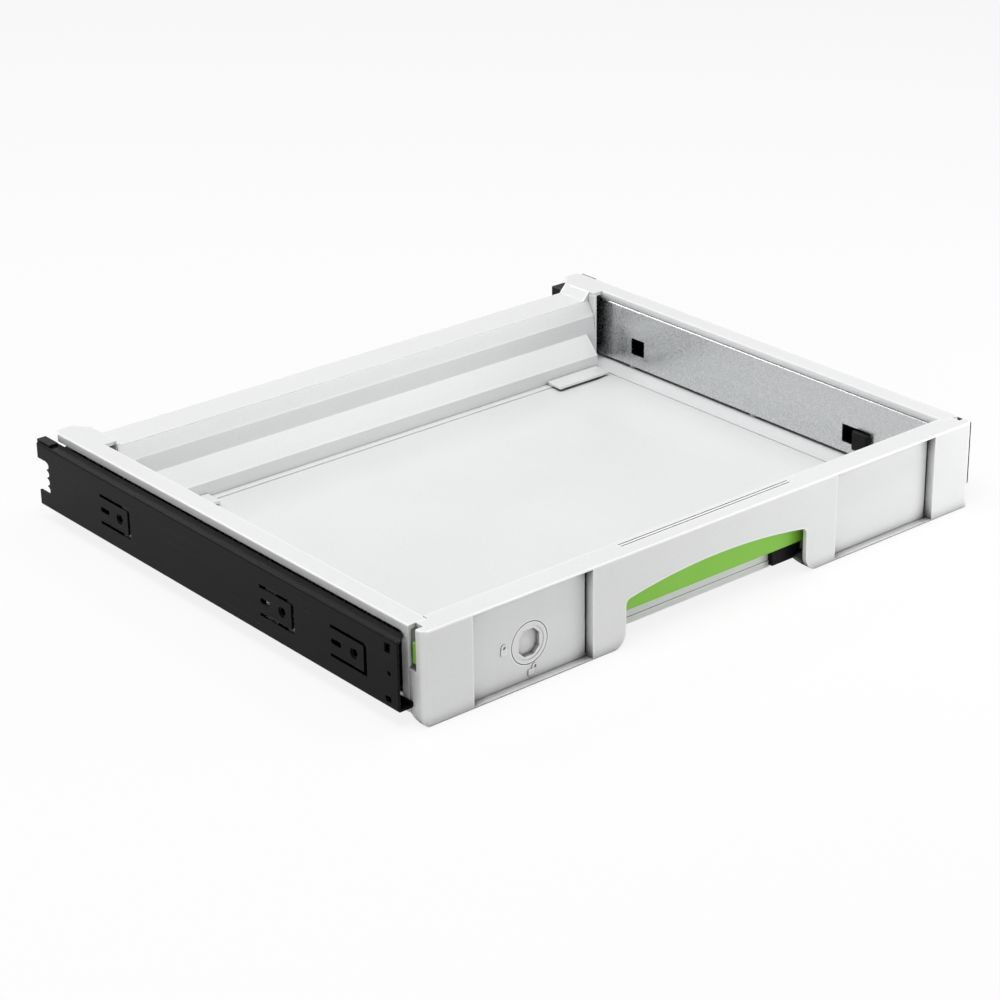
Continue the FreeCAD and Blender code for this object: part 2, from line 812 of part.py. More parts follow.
def make_rail_stops():
    """Plastic clip over the back end of each cabinet rail, which the middle rail closes against."""
    stop_face = "rail_back - stop_thickness"
    body = prism("rail_stop", "YZ", "cabinet_face - rail_profile + stop_setin", "cabinet_face - rail_steel", [
        ("rail_back - stop_reach", "rail_top"),
        ("rail_back", "rail_top"),
        ("rail_back", "rail_top - rail_steel"),
        (stop_face, "rail_top - rail_steel"),
        (stop_face, "rail_top - stop_drop"),
        ("unit_depth", "rail_top - stop_drop"),
        ("unit_depth", "rail_top + stop_pad"),
        ("rail_back - stop_reach", "rail_top + stop_pad"),
    ])
    twin = doc.addObject("Part::Mirroring", "left_rail_stop")
    twin.Source = body
    twin.Normal = FreeCAD.Vector(1, 0, 0)
    node(group("rail_stop_pair", [body, twin]), "rail_rear_stops")


# Tray
def tray_rim():
    """Side rims: a flat top with an inner lip on the drawer rail and an outer skirt beside it."""
    section = [
        ("rail_face + rail_bend", "rail_top"),
        ("tray_half + rim_lip", "rail_top"),
        ("tray_half + rim_lip", "deck_bottom"),
        ("panel_half - rim_skirt", "deck_bottom"),
        ("panel_half - rim_skirt", "rim_skirt_bottom"),
        ("panel_half", "rim_skirt_bottom"),
        ("panel_half", "panel_height", "edge_radius"),
        ("tray_half", "panel_height", "edge_radius"),
        ("tray_half", "deck_bottom"),
    ]
    rims = prism("side_rims", "XZ", "cheek_depth", "rim_back", section, mirrored(section, LEFT))
    pieces = [rims]
    for side, name in ((LEFT, "left"), (RIGHT, "right")):
        skirt = on_side(side, "panel_half - rim_skirt", "panel_half")
        pieces.append(box(f"{name}_cheek_return", skirt[0], skirt[1], "cheek_depth", "cheek_back",
                          "panel_heel_rise", "deck_bottom"))
        end = on_side(side, "tray_half + rim_lip", "panel_half")
        pieces.append(box(f"{name}_rim_end", end[0], end[1], "rim_back - tray_wall", "rim_back",
                          "rim_skirt_bottom", "deck_bottom"))
    return pieces


def tray_floor():
    """Flat ledge round a shallow dished pan, on ribs that reach the lowest level."""
    under = "tray_half + ledge_under_rail"
    pieces = [
        box("floor_slab", f"-({under})", under, "tray_front", "back_foot + tray_wall",
            "ledge_bottom", "ledge_top"),
        box("front_wall", "-(panel_half)", "panel_half", "tray_front", "deck_back",
            "ledge_bottom", "deck_bottom"),
        box("front_band", "-(guide_left_start)", "guide_right_start", "tray_front - front_band", "tray_front",
            "ledge_bottom", "front_band_top"),
    ]
    body = doc.addObject("PartDesign::Body", "pan_under")
    loft_between(body, "pan_under_loft", "ledge_bottom", "pan_floor - pan_thickness")
    pieces.append(body)
    for side, name in ((LEFT, "left"), (RIGHT, "right")):
        strip = on_side(side, "back_half_low", under)
        pieces.append(box(f"{name}_ledge_end", strip[0], strip[1], "back_foot", "back_rim_back",
                          "ledge_bottom", "ledge_top"))
        step = on_side(side, "corner_step_inner", "corner_step_outer")
        pieces.append(box(f"{name}_corner_step", step[0], step[1], "corner_step_front",
                          "back_foot + tray_wall / 2", "pan_floor - pan_thickness / 2", "corner_step_top"))
    ribs_each_way = int(value("rib_half_span / rib_pitch"))
    pieces.append(prism("long_ribs", "XY", "0", "ledge_bottom + cut_spare", *[
        rectangle(f"{step} * rib_pitch - rib_width / 2", "pan_front", f"{step} * rib_pitch + rib_width / 2",
                  "pan_back")
        for step in range(-ribs_each_way, ribs_each_way + 1)
    ]))
    cross_ribs = int(value("(pan_back - pan_front - 2 * rib_width) / cross_rib_pitch")) + 1
    pieces.append(prism("cross_ribs", "XY", "0", "ledge_bottom + cut_spare", *[
        rectangle("-(rib_half_span)", f"pan_front + rib_width + {step} * cross_rib_pitch", "rib_half_span",
                  f"pan_front + 2 * rib_width + {step} * cross_rib_pitch")
        for step in range(cross_ribs)
    ]))
    pieces.append(prism("screw_bosses", "XY", "ledge_top - cut_spare", "rail_bottom", *[
        circle(f"{side} * tray_screw_x", tray_screw_spot(step), "boss_radius")
        for side in SIDES for step in range(count("tray_screw_count"))
    ]))
    return pieces


def loft_between(body, name, outer_level, inner_level):
    """Sloped dish between the pan's outer border and its flat middle."""
    outer = sketch(body, name + "_outer", "XY", outer_level, [
        rectangle("-(pan_outer)", "pan_front", "pan_outer", "pan_back"),
    ])
    inner = sketch(body, name + "_inner", "XY", inner_level, [
        rectangle("-(pan_outer - pan_slope)", "pan_front + pan_slope", "pan_outer - pan_slope",
                  "pan_back - pan_slope"),
    ])
    loft = body.newObject("PartDesign::AdditiveLoft", name)
    loft.Profile = outer
    loft.Sections = [inner]
    loft.Ruled = True
    return loft


def tray_back():
    """Stepped back wall, its flat rim and the posts that join it to the side rims."""
    low_wall = [
        ("back_foot", "ledge_bottom"),
        ("back_foot", "back_shelf_low"),
        ("back_mid", "back_shelf_high"),
        ("back_mid_outer", "back_shelf_high"),
        ("back_mid_outer", "back_shelf_high - tray_wall / 2"),
        ("back_foot + tray_wall", "back_shelf_low - tray_wall / 2"),
        ("back_foot + tray_wall", "ledge_bottom"),
    ]
    high_wall = [
        ("back_mid", "back_shelf_high - tray_wall / 2"),
        ("back_mid", "back_shelf_high"),
        ("back_mid + back_mid_lean", "back_mid_high"),
        ("back_top", "back_rim_height - back_lip"),
        ("back_top", "back_rim_height"),
        ("back_rim_back", "back_rim_height", "edge_radius"),
        ("back_rim_back", "back_rim_height - back_skirt"),
        ("back_rim_back - tray_wall", "back_rim_height - back_skirt"),
        ("back_rim_back - tray_wall", "back_rim_height - tray_wall"),
        ("back_top + tray_wall", "back_rim_height - tray_wall"),
        ("back_mid + back_mid_lean + tray_wall", "back_mid_high - tray_wall / 2"),
        ("back_mid_outer", "back_shelf_high - tray_wall / 2"),
    ]
    low_end = [
        ("back_foot", "ledge_bottom"),
        ("back_foot", "back_shelf_low"),
        ("back_mid", "back_shelf_high"),
        ("back_mid_outer", "back_shelf_high"),
        ("back_mid_outer", "ledge_bottom"),
    ]
    pieces = [
        prism("back_wall_low", "YZ", "-(back_half_low)", "back_half_low", low_wall),
        prism("back_wall_high", "YZ", "-(post_back)", "post_back", high_wall),
    ]
    for side, name in ((LEFT, "left"), (RIGHT, "right")):
        end = on_side(side, "back_half_low - tray_wall", "back_half_low")
        pieces.append(prism(f"{name}_back_end", "YZ", end[0], end[1], low_end))
        wall = on_side(side, "back_half_low - tray_wall / 2", "post_back")
        pieces.append(box(f"{name}_back_corner", wall[0], wall[1], "back_mid", "back_mid_outer",
                          "ledge_bottom", "back_shelf_high"))
        post = on_side(side, "post_face", "post_back")
        pieces.append(box(f"{name}_post", post[0], post[1], "back_mid", "back_rim_back",
                          "ledge_bottom", "panel_height - deck / 2"))
        cap = [
            ("tray_half - cap_inset", "cap_start"),
            ("tray_half + rim_lip", "cap_start"),
            ("tray_half + rim_lip", "rim_back"),
            ("tray_half", "rim_back"),
            ("tray_half - cap_inset", "back_rim_back"),
        ]
        pieces.append(prism(f"{name}_cap", "XY", "deck_bottom", "panel_height", mirrored(cap, side)))
        wedge = [
            ("tray_half - cap_inset - cap_slope", "back_rim_height"),
            ("tray_half - cap_inset - cap_slope", "back_rim_height - tray_wall"),
            ("post_back", "back_rim_height - tray_wall"),
            ("post_back", "panel_height"),
            ("tray_half - cap_inset", "panel_height"),
        ]
        pieces.append(prism(f"{name}_wedge", "XZ", "back_top", "back_rim_back", mirrored(wedge, side)))
    rib_steps = int(value("(post_face - rib_width) / back_rib_pitch"))
    for step in range(-rib_steps, rib_steps + 1):
        pieces.append(box(f"back_rib_{step + rib_steps + 1}", f"{step} * back_rib_pitch - rib_width / 2",
                          f"{step} * back_rib_pitch + rib_width / 2", "back_top + tray_wall / 2",
                          "back_rim_back - tray_wall / 2", "back_rim_height - back_skirt",
                          "back_rim_height - tray_wall / 2"))
    return pieces


def make_tray():
    whole = fuse("tray_solid", tray_rim() + tray_floor() + tray_back())
    dish = doc.addObject("PartDesign::Body", "pan_dish")
    loft_between(dish, "pan_dish_loft", "pan_rim", "pan_floor")
    step = box("ledge_step_cut", "-(tray_half - ledge_width)", "tray_half - ledge_width", "pan_front",
               "pan_back", "pan_rim", "ledge_top + cut_spare")
    holes = prism("tray_screw_holes", "XY", "ledge_bottom - cut_spare", "rail_bottom + cut_spare", *[
        circle(f"{side} * tray_screw_x", tray_screw_spot(place), "screw_radius + screw_play")
        for side in SIDES for place in range(count("tray_screw_count"))
    ])
    wall_holes = prism("panel_screw_holes", "XZ", "tray_front - front_band - cut_spare",
                       "deck_back + cut_spare", *[
                           circle(across, up, "screw_radius + screw_play")
                           for across, up in panel_screw_spots()
                       ])
    tools = [dish, step, holes, wall_holes]
    for side, name in ((LEFT, "left"), (RIGHT, "right")):
        for height, level in (("low", "block_screw_low"), ("high", "block_screw_high")):
            spots = on_side(side, "post_face + post_hole_skin", "post_back + cut_spare")
            tools.append(rod(f"{name}_{height}_post_hole", "X", "screw_radius + screw_play",
                             f"{spots[1]} - ({spots[0]})",
                             (spots[0], "drawer_rail_back + block_screw_setback", level)))
        corner = [
            ("panel_half + cut_spare", "rim_back - rim_corner_radius - cut_spare"),
            ("panel_half", "rim_back - rim_corner_radius - cut_spare"),
            ("panel_half", "rim_back", "rim_corner_radius"),
            ("panel_half - rim_corner_radius - cut_spare", "rim_back"),
            ("panel_half - rim_corner_radius - cut_spare", "rim_back + cut_spare"),
            ("panel_half + cut_spare", "rim_back + cut_spare"),
        ]
        tools.append(prism(f"{name}_rim_corner", "XY", "rim_skirt_bottom - cut_spare",
                           "panel_height + cut_spare", mirrored(corner, side)))
    node(cut("tray", whole, tools), "tray")


# Front panel
def panel_screw_spots():
    spots = []
    for side in SIDES:
        spots.append((f"{side} * low_screw_x", "low_screw_z"))
        spots.append((f"{side} * end_screw_x", "end_screw_z"))
    return spots


def panel_shell():
    """Outer form of the front, where its plan, its front view and its side view meet."""
    plan = prism("panel_plan", "XY", "-(cut_spare)", "panel_height + cut_spare", [
        ("-(panel_half)", "0", "corner_radius"),
        ("panel_half", "0", "corner_radius"),
        ("panel_half", "cheek_depth"),
        ("tray_half", "cheek_depth"),
        ("tray_half", "deck_back"),
        ("-(tray_half)", "deck_back"),
        ("-(tray_half)", "cheek_depth"),
        ("-(panel_half)", "cheek_depth"),
    ])
    front_view = prism("panel_front_view", "XZ", "-(cut_spare)", "deck_back + cut_spare", [
        ("-(panel_half)", "0", "corner_radius"),
        ("panel_half", "0", "corner_radius"),
        ("panel_half", "panel_height", "edge_radius"),
        ("-(panel_half)", "panel_height", "edge_radius"),
    ])
    side_view = prism("panel_side_view", "YZ", "-(panel_half) - cut_spare", "panel_half + cut_spare", [
        ("0", "0", "edge_radius"),
        ("panel_toe", "0"),
        ("cheek_depth", "panel_heel_rise"),
        ("cheek_depth", "deck_bottom"),
        ("deck_back", "deck_bottom"),
        ("deck_back", "panel_height"),
        ("0", "panel_height", "edge_radius"),
    ])
    meet = doc.addObject("Part::MultiCommon", "panel_form")
    meet.Shapes = [plan, front_view, side_view]
    meet.Refine = True
    return meet


def panel_cavity():
    """Room behind the front wall, less the walls behind the two insets."""
    room = prism("panel_room", "YZ", "-(panel_half - panel_wall)", "panel_half - panel_wall", [
        ("panel_wall", "panel_floor"),
        ("panel_toe + panel_floor / 2", "panel_floor"),
        ("cheek_depth + cut_spare", "panel_heel_rise + panel_floor"),
        ("cheek_depth + cut_spare", "deck_bottom"),
        ("panel_wall", "deck_bottom"),
    ])
    walls = []
    for side, name in ((LEFT, "left"), (RIGHT, "right")):
        ends = on_side(side, "inset_inner - inset_wall", "inset_outer + inset_wall")
        walls.append(box(f"{name}_inset_backing", ends[0], ends[1], "0", "inset_back", "0", "panel_height"))
    return cut("panel_hollow", room, walls)


def handle_notch():
    """Hand opening: straight sides, a flat arch above and a flare at the foot of each side."""
    arch = doc.addObject("Part::MultiCommon", "notch_arch")
    arch.Shapes = [
        box("notch_block", "-(notch_half)", "notch_half", "-(cut_spare)", "cheek_depth + cut_spare",
            "-(cut_spare)", "notch_crown + cut_spare"),
        rod("notch_curve", "Y", "notch_arch_radius", "cheek_depth + 2 * cut_spare",
            ("0", "-(cut_spare)", "notch_crown - notch_arch_radius")),
    ]
    doc.recompute()
    rounded = doc.addObject("Part::Fillet", "notch_top")
    rounded.Base = arch
    radius = value("notch_corner")
    rounded.Edges = [
        (place, radius, radius) for place, edge in enumerate(arch.Shape.Edges, start=1)
        if abs(abs(edge.CenterOfMass.x) - value("notch_half")) < 0.01
        and edge.CenterOfMass.z > value("notch_crown") / 2
        and edge.BoundBox.YLength > value("cheek_depth")
    ]
    pieces = [rounded]
    for side, name in ((LEFT, "left"), (RIGHT, "right")):
        ends = on_side(side, "notch_half - cut_spare", "notch_half + notch_flare")
        corner = box(f"{name}_flare_block", ends[0], ends[1], "-(cut_spare)", "cheek_depth + cut_spare",
                     "-(cut_spare)", "notch_flare")
        curve = rod(f"{name}_flare_curve", "Y", "notch_flare", "cheek_depth + 4 * cut_spare",
                    (f"{side} * (notch_half + notch_flare)", "-2 * cut_spare", "notch_flare"))
        pieces.append(cut(f"{name}_flare", corner, [curve]))
    return fuse("handle_notch", pieces)


def padlock_mark(name, across, low, shift):
    """Raised padlock figure: a solid body and a ring for its bow, shifted when open."""
    body_high = f"{low} + mark_body"
    start, end = "inset_depth - mark_height", "inset_depth + inset_wall / 2"
    plate = prism(f"{name}_mark_body", "XZ", start, end,
                  rectangle(f"{across} - mark_half_width", low, f"{across} + mark_half_width", body_high))
    bow = prism(f"{name}_mark_bow", "XZ", start, end,
                circle(f"{across} + {shift}", f"{body_high} + mark_line", "mark_ring_radius"),
                circle(f"{across} + {shift}", f"{body_high} + mark_line", "mark_ring_radius - mark_line"))
    return [plate, bow]


def make_front_panel():
    insets = []
    for side, name in ((LEFT, "left"), (RIGHT, "right")):
        ends = on_side(side, "inset_inner", "inset_outer")
        insets.append(box(f"{name}_inset", ends[0], ends[1], "-(cut_spare)", "inset_depth", "inset_lip",
                          "panel_height - inset_lip"))
    slots = []
    for name, end in (("left", "-(inset_inner)"), ("right", "inset_outer")):
        slots.append(box(f"{name}_end_slot", f"{end} - end_slot_width", end, "inset_depth - cut_spare",
                         "inset_back + cut_spare", "end_slot_margin", "panel_height - end_slot_margin"))
    for side, name in ((LEFT, "left"), (RIGHT, "right")):
        ends = on_side(side, "panel_half - slot_inner", "panel_half + cut_spare")
        slots.append(box(f"{name}_tab_slot", ends[0], ends[1], "bar_front - slot_play",
                         "cheek_depth + cut_spare", "slot_bottom", "panel_height + cut_spare"))
    grooves = prism("deck_grooves", "XY", "panel_height - groove_depth", "panel_height + cut_spare", *[
        rectangle("-(groove_half)", f"groove_front + {step} * groove_pitch", "groove_half",
                  f"groove_front + {step} * groove_pitch + groove_width")
        for step in range(2)
    ])
    shell = cut("panel_shell", panel_shell(), [panel_cavity(), handle_notch(), grooves] + insets + slots)
    extras = [shell]
    for side, name in ((LEFT, "left"), (RIGHT, "right")):
        extras.append(rod(f"{name}_low_boss", "Y", "boss_radius", "tray_front - inset_back + inset_wall / 2",
                          (f"{side} * low_screw_x", "inset_back - inset_wall / 2", "low_screw_z")))
        extras.append(rod(f"{name}_end_boss", "Y", "boss_radius", "tray_front - panel_wall / 2",
                          (f"{side} * end_screw_x", "panel_wall / 2", "end_screw_z")))
        ends = on_side(side, "bar_rest_x - bar_rest_half", "bar_rest_x + bar_rest_half")
        extras.append(box(f"{name}_bar_rest", ends[0], ends[1], "inset_back - inset_wall / 2", "bar_back",
                          "bar_bottom - bar_rest_gap - bar_rest_height", "bar_bottom - bar_rest_gap"))
        extras.append(rod(f"{name}_spring_pin", "Z", "spring_pin_radius", "spring_pin_length + deck / 2",
                          (f"{side} * spring_x", "spring_y", "deck_bottom - spring_pin_length")))
    extras.append(rod("lock_collar", "Y", "collar_radius", "collar_length + inset_wall / 2",
                      ("-(lock_x)", "inset_back - inset_wall / 2", "lock_z")))
    extras += padlock_mark("closed", "-(closed_mark_x)", "closed_mark_z", "0")
    extras += padlock_mark("open", "-(open_mark_x)", "open_mark_z", "open_mark_shift")
    holes = [
        rod("dial_seat", "Y", "dial_radius + dial_gap", "dial_rim + cut_spare",
            ("-(lock_x)", "inset_depth - cut_spare", "lock_z")),
        rod("hub_hole", "Y", "hub_radius + hub_play", "collar_back - inset_depth + 2 * cut_spare",
            ("-(lock_x)", "inset_depth - cut_spare", "lock_z")),
    ]
    for place, (across, up) in enumerate(panel_screw_spots(), start=1):
        holes.append(rod(f"boss_hole_{place}", "Y", "screw_radius + screw_play", "screw_depth + cut_spare",
                         (across, "tray_front - screw_depth", up)))
    node(cut("front_panel", fuse("panel_with_bosses", extras), holes), "front_panel")


# Release bar, its springs and its guides
def make_release_bar():
    lock_low = "lock_z + collar_radius + lock_passage"
    outline = [
        ("-(bar_half)", "bar_bottom"),
        ("-(lock_x + collar_radius + lock_passage)", "bar_bottom"),
        ("-(lock_x + collar_radius + lock_passage)", lock_low),
        ("-(lock_x - collar_radius - lock_passage)", lock_low),
        ("-(lock_x - collar_radius - lock_passage)", "bar_bottom"),
        ("-(grip_half)", "bar_bottom"),
        ("-(grip_half)", "grip_bottom"),
        ("grip_half", "grip_bottom"),
        ("grip_half", "bar_bottom"),
        ("bar_half", "bar_bottom"),
        ("bar_half", "tab_bottom"),
        ("tab_half", "tab_bottom"),
        ("tab_half", "tab_top"),
        ("bar_half - tab_play", "tab_top"),
        ("bar_half - tab_play", "bar_top"),
    ]
    for side in (RIGHT, LEFT):
        for edge, level in ((1, "bar_top"), (1, "spring_seat"), (-1, "spring_seat"), (-1, "bar_top")):
            outline.append((f"{side} * (spring_x + {side * edge} * bar_cut_half)", level))
    outline += [
        ("-(bar_half) + tab_play", "bar_top"),
        ("-(bar_half) + tab_play", "tab_top"),
        ("-(tab_half)", "tab_top"),
        ("-(tab_half)", "tab_bottom"),
        ("-(bar_half)", "tab_bottom"),
    ]
    pieces = [prism("bar_plate", "XZ", "bar_front", "bar_back", outline)]
    for side, name in ((LEFT, "left"), (RIGHT, "right")):
        ends = on_side(side, "spring_x - spring_seat_half", "spring_x + spring_seat_half")
        pieces.append(box(f"{name}_spring_seat", ends[0], ends[1], "spring_y - spring_radius - cut_spare",
                          "spring_y + spring_radius + cut_spare", "spring_seat - spring_seat_thickness",
                          "spring_seat"))
    node(fuse("release_bar", pieces), "release_bar")


def make_springs():
    coils = []
    for side, name in ((LEFT, "left"), (RIGHT, "right")):
        path = doc.addObject("Part::Helix", f"{name}_spring_path")
        rise = "deck_bottom - spring_seat - 2 * (spring_wire + spring_end_gap)"
        tie(path, "Pitch", f"({rise}) / spring_turns")
        tie(path, "Height", rise)
        tie(path, "Radius", "spring_radius")
        tie(path, "Placement.Base.x", f"{side} * spring_x")
        tie(path, "Placement.Base.y", "spring_y")
        tie(path, "Placement.Base.z", "spring_seat + spring_wire + spring_end_gap")
        wire = doc.addObject("Part::Circle", f"{name}_spring_wire")
        tie(wire, "Radius", "spring_wire")
        wire.Placement.Rotation = FreeCAD.Rotation(FreeCAD.Vector(1, 0, 0), 90)
        tie(wire, "Placement.Base.x", f"{side} * spring_x + spring_radius")
        tie(wire, "Placement.Base.y", "spring_y")
        tie(wire, "Placement.Base.z", "spring_seat + spring_wire + spring_end_gap")
        coil = doc.addObject("Part::Sweep", f"{name}_spring")
        coil.Sections = [wire]
        coil.Spine = (path, ["Edge1"])
        coil.Solid = True
        coil.Frenet = True
        coils.append(coil)
    node(group("spring_pair", coils), "return_springs")


def make_bar_guides():
    foot_level = "panel_heel_rise + panel_floor + guide_play"
    guides = []
    for side, name, start in ((LEFT, "left", "guide_left_start"), (RIGHT, "right", "guide_right_start")):
        outline = [
            (start, "guide_bottom"),
            ("notch_half - guide_play", "guide_bottom"),
            ("notch_half - guide_play", foot_level),
            ("grip_half", foot_level),
            ("grip_half", "guide_top"),
            (start, "guide_top"),
        ]
        guides.append(prism(f"{name}_guide", "XZ", "guide_front", "tray_front", mirrored(outline, side)))
    node(group("guide_pair", guides), "bar_guides")


# Lock
def make_lock():
    middle = ("-(lock_x)", "inset_depth", "lock_z")
    rim = rod("dial_rim", "Y", "dial_radius", "dial_rim - dial_face_gap", middle)
    hub = rod("dial_hub", "Y", "hub_radius", "cam_front - inset_depth", middle)
    recess = rod("dial_recess", "Y", "dial_recess_radius", "dial_recess + cut_spare",
                 ("-(lock_x)", "inset_depth - cut_spare", "lock_z"))
    inner_up = "key_half_height - key_chamfer"
    inner_across = "key_half_width - key_chamfer"
    well = prism("key_well", "XZ", "inset_depth - cut_spare", "inset_depth + key_depth", [
        (f"-(lock_x) {side_x} ({across})", f"lock_z {side_z} ({up})")
        for side_x, across, side_z, up in (
            ("+", "key_half_width", "-", inner_up),
            ("+", "key_half_width", "+", inner_up),
            ("+", inner_across, "+", "key_half_height"),
            ("-", inner_across, "+", "key_half_height"),
            ("-", "key_half_width", "+", inner_up),
            ("-", "key_half_width", "-", inner_up),
            ("-", inner_across, "-", "key_half_height"),
            ("+", inner_across, "-", "key_half_height"),
        )
    ])
    pilot = rod("cam_screw_pilot", "Y", "cam_screw_radius + screw_play", "cam_screw_depth + cut_spare",
                ("-(lock_x)", "cam_front - cam_screw_depth", "lock_z"))
    node(cut("lock_dial", fuse("dial_solid", [rim, hub]), [recess, well, pilot]), "lock_dial")
    disc = rod("cam_disc", "Y", "cam_radius", "cam_thickness", ("-(lock_x)", "cam_front", "lock_z"))
    arm = box("cam_arm", "-(lock_x) - cam_reach + cam_half_width", "-(lock_x)", "cam_front", "cam_back",
              "lock_z - cam_half_width", "lock_z + cam_half_width")
    tip = rod("cam_tip", "Y", "cam_half_width", "cam_thickness",
              ("-(lock_x) - cam_reach + cam_half_width", "cam_front", "lock_z"))
    bore = rod("cam_bore", "Y", "cam_screw_radius + screw_play", "cam_thickness + 2 * cut_spare",
               ("-(lock_x)", "cam_front - cut_spare", "lock_z"))
    sink = rod("cam_sink", "Y", "cam_screw_head_radius + screw_play", "cam_screw_head + cut_spare",
               ("-(lock_x)", "cam_back - cam_screw_head", "lock_z"))
    node(cut("lock_cam", fuse("cam_solid", [disc, arm, tip]), [bore, sink]), "lock_cam")
    shank = rod("cam_screw_shank", "Y", "cam_screw_radius",
                "cam_thickness - cam_screw_head + cam_screw_depth",
                ("-(lock_x)", "cam_front - cam_screw_depth", "lock_z"))
    head = rod("cam_screw_cap", "Y", "cam_screw_head_radius", "cam_screw_head",
               ("-(lock_x)", "cam_back - cam_screw_head", "lock_z"))
    node(fuse("cam_screw", [shank, head]), "lock_screw")


# Fittings
def make_case_catches():
    """Plastic catch on the tray side of each drawer rail, plugged into the rail's front hole."""
    low = "catch_hole_bottom - catch_flange"
    high = "catch_hole_bottom + catch_hole_height - catch_flange"
    front = "catch_hole_front - catch_play"
    pieces = []
    for side, name in ((LEFT, "left"), (RIGHT, "right")):
        plan = [
            ("rail_face", front),
            ("rail_face", f"{front} + catch_length"),
            ("rail_face - catch_reach + catch_chamfer", f"{front} + catch_length"),
            ("rail_face - catch_reach", f"{front} + catch_length - catch_chamfer"),
            ("rail_face - catch_reach", f"{front} + catch_chamfer"),
            ("rail_face - catch_reach + catch_chamfer", front),
        ]
        knob = prism(f"{name}_catch_knob", "XY", low, high, mirrored(plan, side))
        ends = on_side(side, "rail_face - cut_spare", "rail_face + rail_steel - screw_play")
        plug = box(f"{name}_catch_plug", ends[0], ends[1], "catch_hole_front + screw_play",
                   f"{front} + catch_length - catch_play", "catch_hole_bottom + screw_play",
                   f"{high} - catch_play")
        pieces.append(fuse(f"{name}_catch", [knob, plug]))
    node(group("catch_pair", pieces), "case_catches")


def make_rear_blocks():
    plan = [
        ("post_back", "drawer_rail_back"),
        ("block_outer", "drawer_rail_back"),
        ("block_outer", "rail_back", "block_radius"),
        ("post_face - block_wing", "rail_back", "block_radius"),
        ("post_face - block_wing", "back_rim_back + block_joint"),
        ("post_back", "back_rim_back + block_joint"),
    ]
    pieces = []
    for side, name in ((LEFT, "left"), (RIGHT, "right")):
        solid = prism(f"{name}_block_solid", "XY", "block_bottom", "block_top", mirrored(plan, side))
        tools = []
        for height, level in (("low", "block_screw_low"), ("high", "block_screw_high")):
            spot_y = "drawer_rail_back + block_screw_setback"
            bore = on_side(side, "post_back - cut_spare", "block_outer + cut_spare")
            tools.append(rod(f"{name}_{height}_block_bore", "X", "screw_radius + screw_play",
                             f"{bore[1]} - ({bore[0]})", (bore[0], spot_y, level)))
            sink = on_side(side, "block_outer - screw_head", "block_outer + cut_spare")
            tools.append(rod(f"{name}_{height}_block_sink", "X", "screw_head_radius + screw_play",
                             f"{sink[1]} - ({sink[0]})", (sink[0], spot_y, level)))
        pieces.append(cut(f"{name}_rear_block", solid, tools))
    node(group("block_pair", pieces), "rear_blocks")


def screw(name, axis, tip, seat, head_end, across_spot):
    """Screw between a tip and a head seat on one axis, head towards plus or minus."""
    def spot(level):
        place = dict(across_spot)
        place[axis] = level
        return (place["X"], place["Y"], place["Z"])
    low, high = sorted((tip, seat), key=value)
    shank = rod(f"{name}_shank", axis, "screw_radius", f"({high}) - ({low})", spot(low))
    low, high = sorted((seat, head_end), key=value)
    head = rod(f"{name}_head", axis, "screw_head_radius", f"({high}) - ({low})", spot(low))
    return fuse(name, [shank, head])


def make_screws():
    tray_screws = []
    for side, name in ((LEFT, "left"), (RIGHT, "right")):
        for step in range(count("tray_screw_count")):
            tray_screws.append(screw(
                f"{name}_tray_screw_{step + 1}", "Z", "rail_bottom + rail_steel - screw_play",
                "ledge_bottom", "ledge_bottom - screw_head",
                {"X": f"{side} * tray_screw_x", "Y": tray_screw_spot(step)}))
    node(group("tray_screw_set", tray_screws), "tray_screws")
    panel_screws = []
    for place, (across, up) in enumerate(panel_screw_spots(), start=1):
        panel_screws.append(screw(
            f"panel_screw_{place}", "Y", "tray_front - screw_depth + screw_play",
            "deck_back", "deck_back + screw_head", {"X": across, "Z": up}))
    node(group("panel_screw_set", panel_screws), "panel_screws")
    block_screws = []
    for side, name in ((LEFT, "left"), (RIGHT, "right")):
        for height, level in (("low", "block_screw_low"), ("high", "block_screw_high")):
            block_screws.append(screw(f"{name}_{height}_block_screw", "X",
                                      f"{side} * (post_face + post_hole_skin + screw_play)",
                                      f"{side} * (block_outer - screw_head)", f"{side} * block_outer",
                                      {"Y": "drawer_rail_back + block_screw_setback", "Z": level}))
    node(group("block_screw_set", block_screws), "block_screws")


make_cabinet_rail()
make_rail_stops()
make_middle_rail()
make_cage("outer_cage", RIGHT, "outer_cage_setback", "outer_ball_count")
make_cage("inner_cage", LEFT, "inner_cage_setback", "inner_ball_count")
make_drawer_rail()
make_tray()
make_front_panel()
make_case_catches()
make_rear_blocks()
make_bar_guides()
make_release_bar()
make_springs()
make_lock()
make_screws()
doc.recompute()

# Checks before anything is written
for thing in doc.Objects:
    if "Invalid" in thing.State or "Error" in thing.State:
        raise RuntimeError(f"{thing.Label} did not build: {thing.State}")
for feature in pockets:
    before = feature.BaseFeature.Shape.Volume
    if before - feature.Shape.Volume < 1e-3:
        raise RuntimeError(f"{feature.Name} cuts nothing")
for piece in nodes:
    if piece.Shape.isNull() or not piece.Shape.isValid():
        raise RuntimeError(f"{piece.Label} has no valid shape")
    if not piece.Shape.Solids:
        raise RuntimeError(f"{piece.Label} holds no solid")

for piece in nodes:
    piece.Shape.exportStep(f"parts/{piece.Label}.step")
    span = piece.Shape.BoundBox
    print(f"{piece.Label}: {len(piece.Shape.Solids)} solids, {piece.Shape.Volume:.0f} mm3,"
          f" X {span.XMin:.1f} {span.XMax:.1f} Y {span.YMin:.1f} {span.YMax:.1f}"
          f" Z {span.ZMin:.1f} {span.ZMax:.1f}")
print(f"{len(nodes)} nodes")
